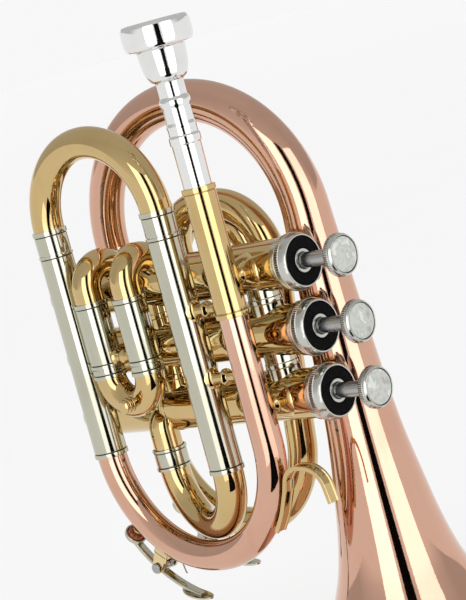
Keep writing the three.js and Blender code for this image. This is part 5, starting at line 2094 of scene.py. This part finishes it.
@dataclass
class Studio:
    """The pale floor, the soft lamps, the dark slit between them, the ceiling and the camera.

    Turns are in degrees, seen from the instrument, and start at the camera's side. Lengths are in
    metres, apart from those of the eye and the middle, which are millimetres of the working frame.
    """

    eye: tuple[float, float, float] = (587.2, -612.6, 98.9)
    right: tuple[float, float, float] = (0.6956, 0.6699, -0.2596)
    back: tuple[float, float, float] = (0.712, -0.691, 0.1248)
    middle: tuple[float, float, float] = (-60, 0, 0)
    lens: float = 132.0
    sensor: float = 36.0
    far: float = 200.0
    floor: float = 0.25
    floor_size: float = 30.0
    floor_level: float = -0.0002
    floor_roughness: float = 0.9
    floor_gleam: float = 0.1
    floor_mottle: float = 0.02
    floor_waves: float = 3.0
    glow: float = 0.675
    sky: float = 0.935
    card_mottle: float = 0.004
    card_waves: float = 20.0
    slit: tuple[float, float] = (0.0, 15.0)
    slit_tone: float = 0.002
    slit_spread: float = 18.0
    slit_near: float = 0.15
    slit_level: float = 0.003
    reach: float = 0.84
    lamp_height: float = 0.84
    lamps: tuple[Lamp, ...] = (Lamp("left", -20, 0.46, 1.8), Lamp("right", 39, 0.54, 1.5))
    sheens: tuple[Sheen, ...] = (Sheen("left", -35.3, -4.7, 0.9), Sheen("right", 21.2, 56.8, 0.6))
    sheen_tone: float = 0.8
    sheen_near: float = 0.3
    sheen_level: float = 0.002
    ceiling: tuple[tuple[float, float], ...] = ((-70, 16), (70, 16), (120, 14), (240, 14))
    ceiling_level: float = 1.9
    ceiling_tone: float = 0.6
    ceiling_front: float = 1.0
    front_band: tuple[float, float] = (0.6, 5.0)

    def build(self) -> None:
        """Sets up everything that isn't the instrument."""
        self.build_world()
        self.build_floor()
        self.build_lamps()
        self.build_camera()
        bpy.context.scene.view_settings.view_transform = "Standard"

    def build_world(self) -> None:
        """Sets a plain pale surround, which the camera and the metal see alike."""
        world = bpy.data.worlds.new("studio")
        bpy.context.scene.world = world
        world.use_nodes = True
        shader = Shader(world.node_tree)
        values = {"Color": WHITE, "Strength": self.sky}
        light = shader.node("ShaderNodeBackground", {}, values)
        output = world.node_tree.nodes.new("ShaderNodeOutputWorld")
        world.node_tree.links.new(light.socket, output.inputs["Surface"])

    def build_floor(self) -> None:
        """Lays a wide pale floor at the rim's level."""
        mesh = bpy.data.meshes.new("floor")
        size, low = self.floor_size, self.floor_level
        corners = [(-size, -size, low), (size, -size, low), (size, size, low), (-size, size, low)]
        mesh.from_pydata(corners, [], [(0, 1, 2, 3)])
        floor = bpy.data.objects.new("floor", mesh)
        bpy.context.scene.collection.objects.link(floor)
        material = bpy.data.materials.new("pale_floor")
        material.use_nodes = True
        shader = Shader(material.node_tree)
        tone = shader.noise(self.floor_waves, 2) * self.floor_mottle + (self.floor - self.floor_mottle / 2)
        shader.finish({
            "Base Color": shader.grey(tone), "Roughness": self.floor_roughness,
            "Specular IOR Level": self.floor_gleam, "Emission Color": WHITE,
            "Emission Strength": self.glow,
        })
        mesh.materials.append(material)

    def direction(self, turn: float) -> Vector:
        """The level way to a place in the studio, turned from the camera's side to its right."""
        angle = math.atan2(self.eye[1], self.eye[0]) + math.radians(turn)
        return Vector((math.cos(angle), math.sin(angle), 0))

    def spoke(self, turn: float, distance: float, height: float) -> Vector:
        """Finds a point over the floor.

        Args:
            turn: Its turn round the instrument.
            distance: Its distance from the instrument's middle.
            height: Its height over the floor.

        Returns:
            The point in the scene's own space.
        """
        point = ORIGIN + Vector(self.middle) * MM + self.direction(turn) * distance
        point.z = height
        return point

    def hang(self, lamp: Lamp) -> None:
        """Hangs one soft lamp, which faces the instrument's middle.

        Args:
            lamp: The lamp.
        """
        aim = self.spoke(0, 0, self.lamp_height / 2)
        place = self.spoke(lamp.turn, self.reach, aim.z)
        light = bpy.data.lights.new(f"lamp_{lamp.name}", "AREA")
        light.shape = "RECTANGLE"
        light.size, light.size_y = lamp.width, self.lamp_height
        light.energy = lamp.radiance * math.pi * lamp.width * self.lamp_height
        hung = bpy.data.objects.new(f"lamp_{lamp.name}", light)
        hung.location = place
        hung.rotation_euler = (aim - place).to_track_quat("-Z", "Y").to_euler()
        bpy.context.scene.collection.objects.link(hung)

    def card(self, name: str, points: Sequence[Vector], tone: float, front: float = 0.0,
             glow: float = 0.0) -> None:
        """Puts up one card that only the metal sees.

        Args:
            name: The card's name.
            points: Its corners, in metres.
            tone: How light it is.
            front: How light it is towards the camera, where that differs.
            glow: How brightly it shines.
        """
        mesh = bpy.data.meshes.new(name)
        mesh.from_pydata(points, [], [tuple(range(len(points)))])
        card = bpy.data.objects.new(name, mesh)
        bpy.context.scene.collection.objects.link(card)
        material = bpy.data.materials.new(name)
        material.use_nodes = True
        shader = Shader(material.node_tree)
        shade = shader.noise(self.card_waves, 2) * self.card_mottle + tone
        if front:
            ahead = shader.node("ShaderNodeVectorMath", {"operation": "DOT_PRODUCT"},
                                {0: shader.place(), 1: self.direction(0)}, "Value")
            near, far = self.front_band
            shade = shade + shader.node("ShaderNodeMapRange", {"clamp": True}, {
                "Value": ahead, "From Min": near, "From Max": far, "To Min": 0.0,
                "To Max": front - tone,
            })
        shader.finish({
            "Base Color": shader.grey(shade), "Roughness": 1.0, "Specular IOR Level": 0.0,
            "Emission Color": WHITE, "Emission Strength": glow,
        })
        mesh.materials.append(material)
        card.visible_camera = False
        card.visible_diffuse = False
        card.visible_shadow = False

    def build_lamps(self) -> None:
        """Hangs two tall lamps, and puts up the dark slit, the ceiling and the floor's sheens."""
        reach, (low, high) = self.reach, self.slit
        for lamp in self.lamps:
            self.hang(lamp)
        self.card("slit_card", [
            self.spoke(low, reach, 0), self.spoke(high, reach, 0),
            self.spoke(high, reach, self.lamp_height), self.spoke(low, reach, self.lamp_height),
        ], self.slit_tone)
        self.card("slit_on_floor", [
            self.spoke(low - self.slit_spread, self.slit_near, self.slit_level),
            self.spoke(high + self.slit_spread, self.slit_near, self.slit_level),
            self.spoke(high, reach, self.slit_level), self.spoke(low, reach, self.slit_level),
        ], self.slit_tone)
        self.card("ceiling", [self.spoke(turn, distance, self.ceiling_level)
                              for turn, distance in self.ceiling],
                  self.ceiling_tone, front=self.ceiling_front)
        for sheen in self.sheens:
            self.card(f"sheen_{sheen.name}", [
                self.spoke(turn, distance, self.sheen_level) for turn, distance in (
                    (sheen.start, self.sheen_near), (sheen.end, self.sheen_near),
                    (sheen.end, reach), (sheen.start, reach),
                )
            ], self.sheen_tone, glow=sheen.glow)

    def build_camera(self) -> None:
        """Sets the camera at the photograph's angle."""
        camera = bpy.data.cameras.new("camera")
        camera.lens = self.lens
        camera.sensor_width = self.sensor
        camera.clip_end = self.far
        seer = bpy.data.objects.new("camera", camera)
        bpy.context.scene.collection.objects.link(seer)
        back = Vector(self.back).normalized()
        up = back.cross(Vector(self.right).normalized()).normalized()
        turn = Matrix((up.cross(back), up, back)).transposed().to_4x4()
        seer.matrix_world = Matrix.Translation(ORIGIN + Vector(self.eye) * MM) @ turn
        bpy.context.scene.camera = seer


def valve_slides() -> list[ValveSlide]:
    """Places the three valves' own slides on their sleeves.

    Returns:
        The slides, from the first valve's to the third's.
    """
    sleeves, knuckles = SideSleeves(), Knuckles()
    first = [at(x, sleeves.first_y, sleeves.first_ends[0]) for x in sleeves.first_x]
    second = [at(x, knuckles.second_mouth, -PITCH) for x in knuckles.second_x]
    third = [at(x, sleeves.third_y, sleeves.third_ends[1]) for x in sleeves.third_x]
    return [
        ValveSlide("first", Body.FIRST, "first_slide", *first, -Z, leg=21.4),
        ValveSlide("second", Body.SECOND, "second_slide", *second, Y, leg=13.5),
        ValveSlide("third", Body.THIRD, "third_slide", *third, Z, leg=20, rise=10),
    ]


def main() -> None:
    """Builds the instrument piece by piece, then the studio round it."""
    logging.basicConfig(level=logging.INFO, format="%(name)s %(message)s")
    bell = Bell()
    for index in range(3):
        Valve(index).build()
    for assembly in (Knuckles(), Mouthpiece(), Leadpipe(), TuningSlide(), LowerBow(), SideSleeves()):
        assembly.build()
    first, second, third = valve_slides()
    first.build()
    PullKnob().build()
    second.build()
    third.build()
    bell.build()
    Wrap().build(bell)
    Braces().build(bell)
    FingerHook().build()
    WaterKey(1, FRONT_BOW, cork_at=218.6, pivot_at=236, thumb_at=258).build()
    WaterKey(2, REAR_BOW, cork_at=217.6, pivot_at=236, thumb_at=262).build()
    Studio().build()


if __name__ == "__main__":
    main()
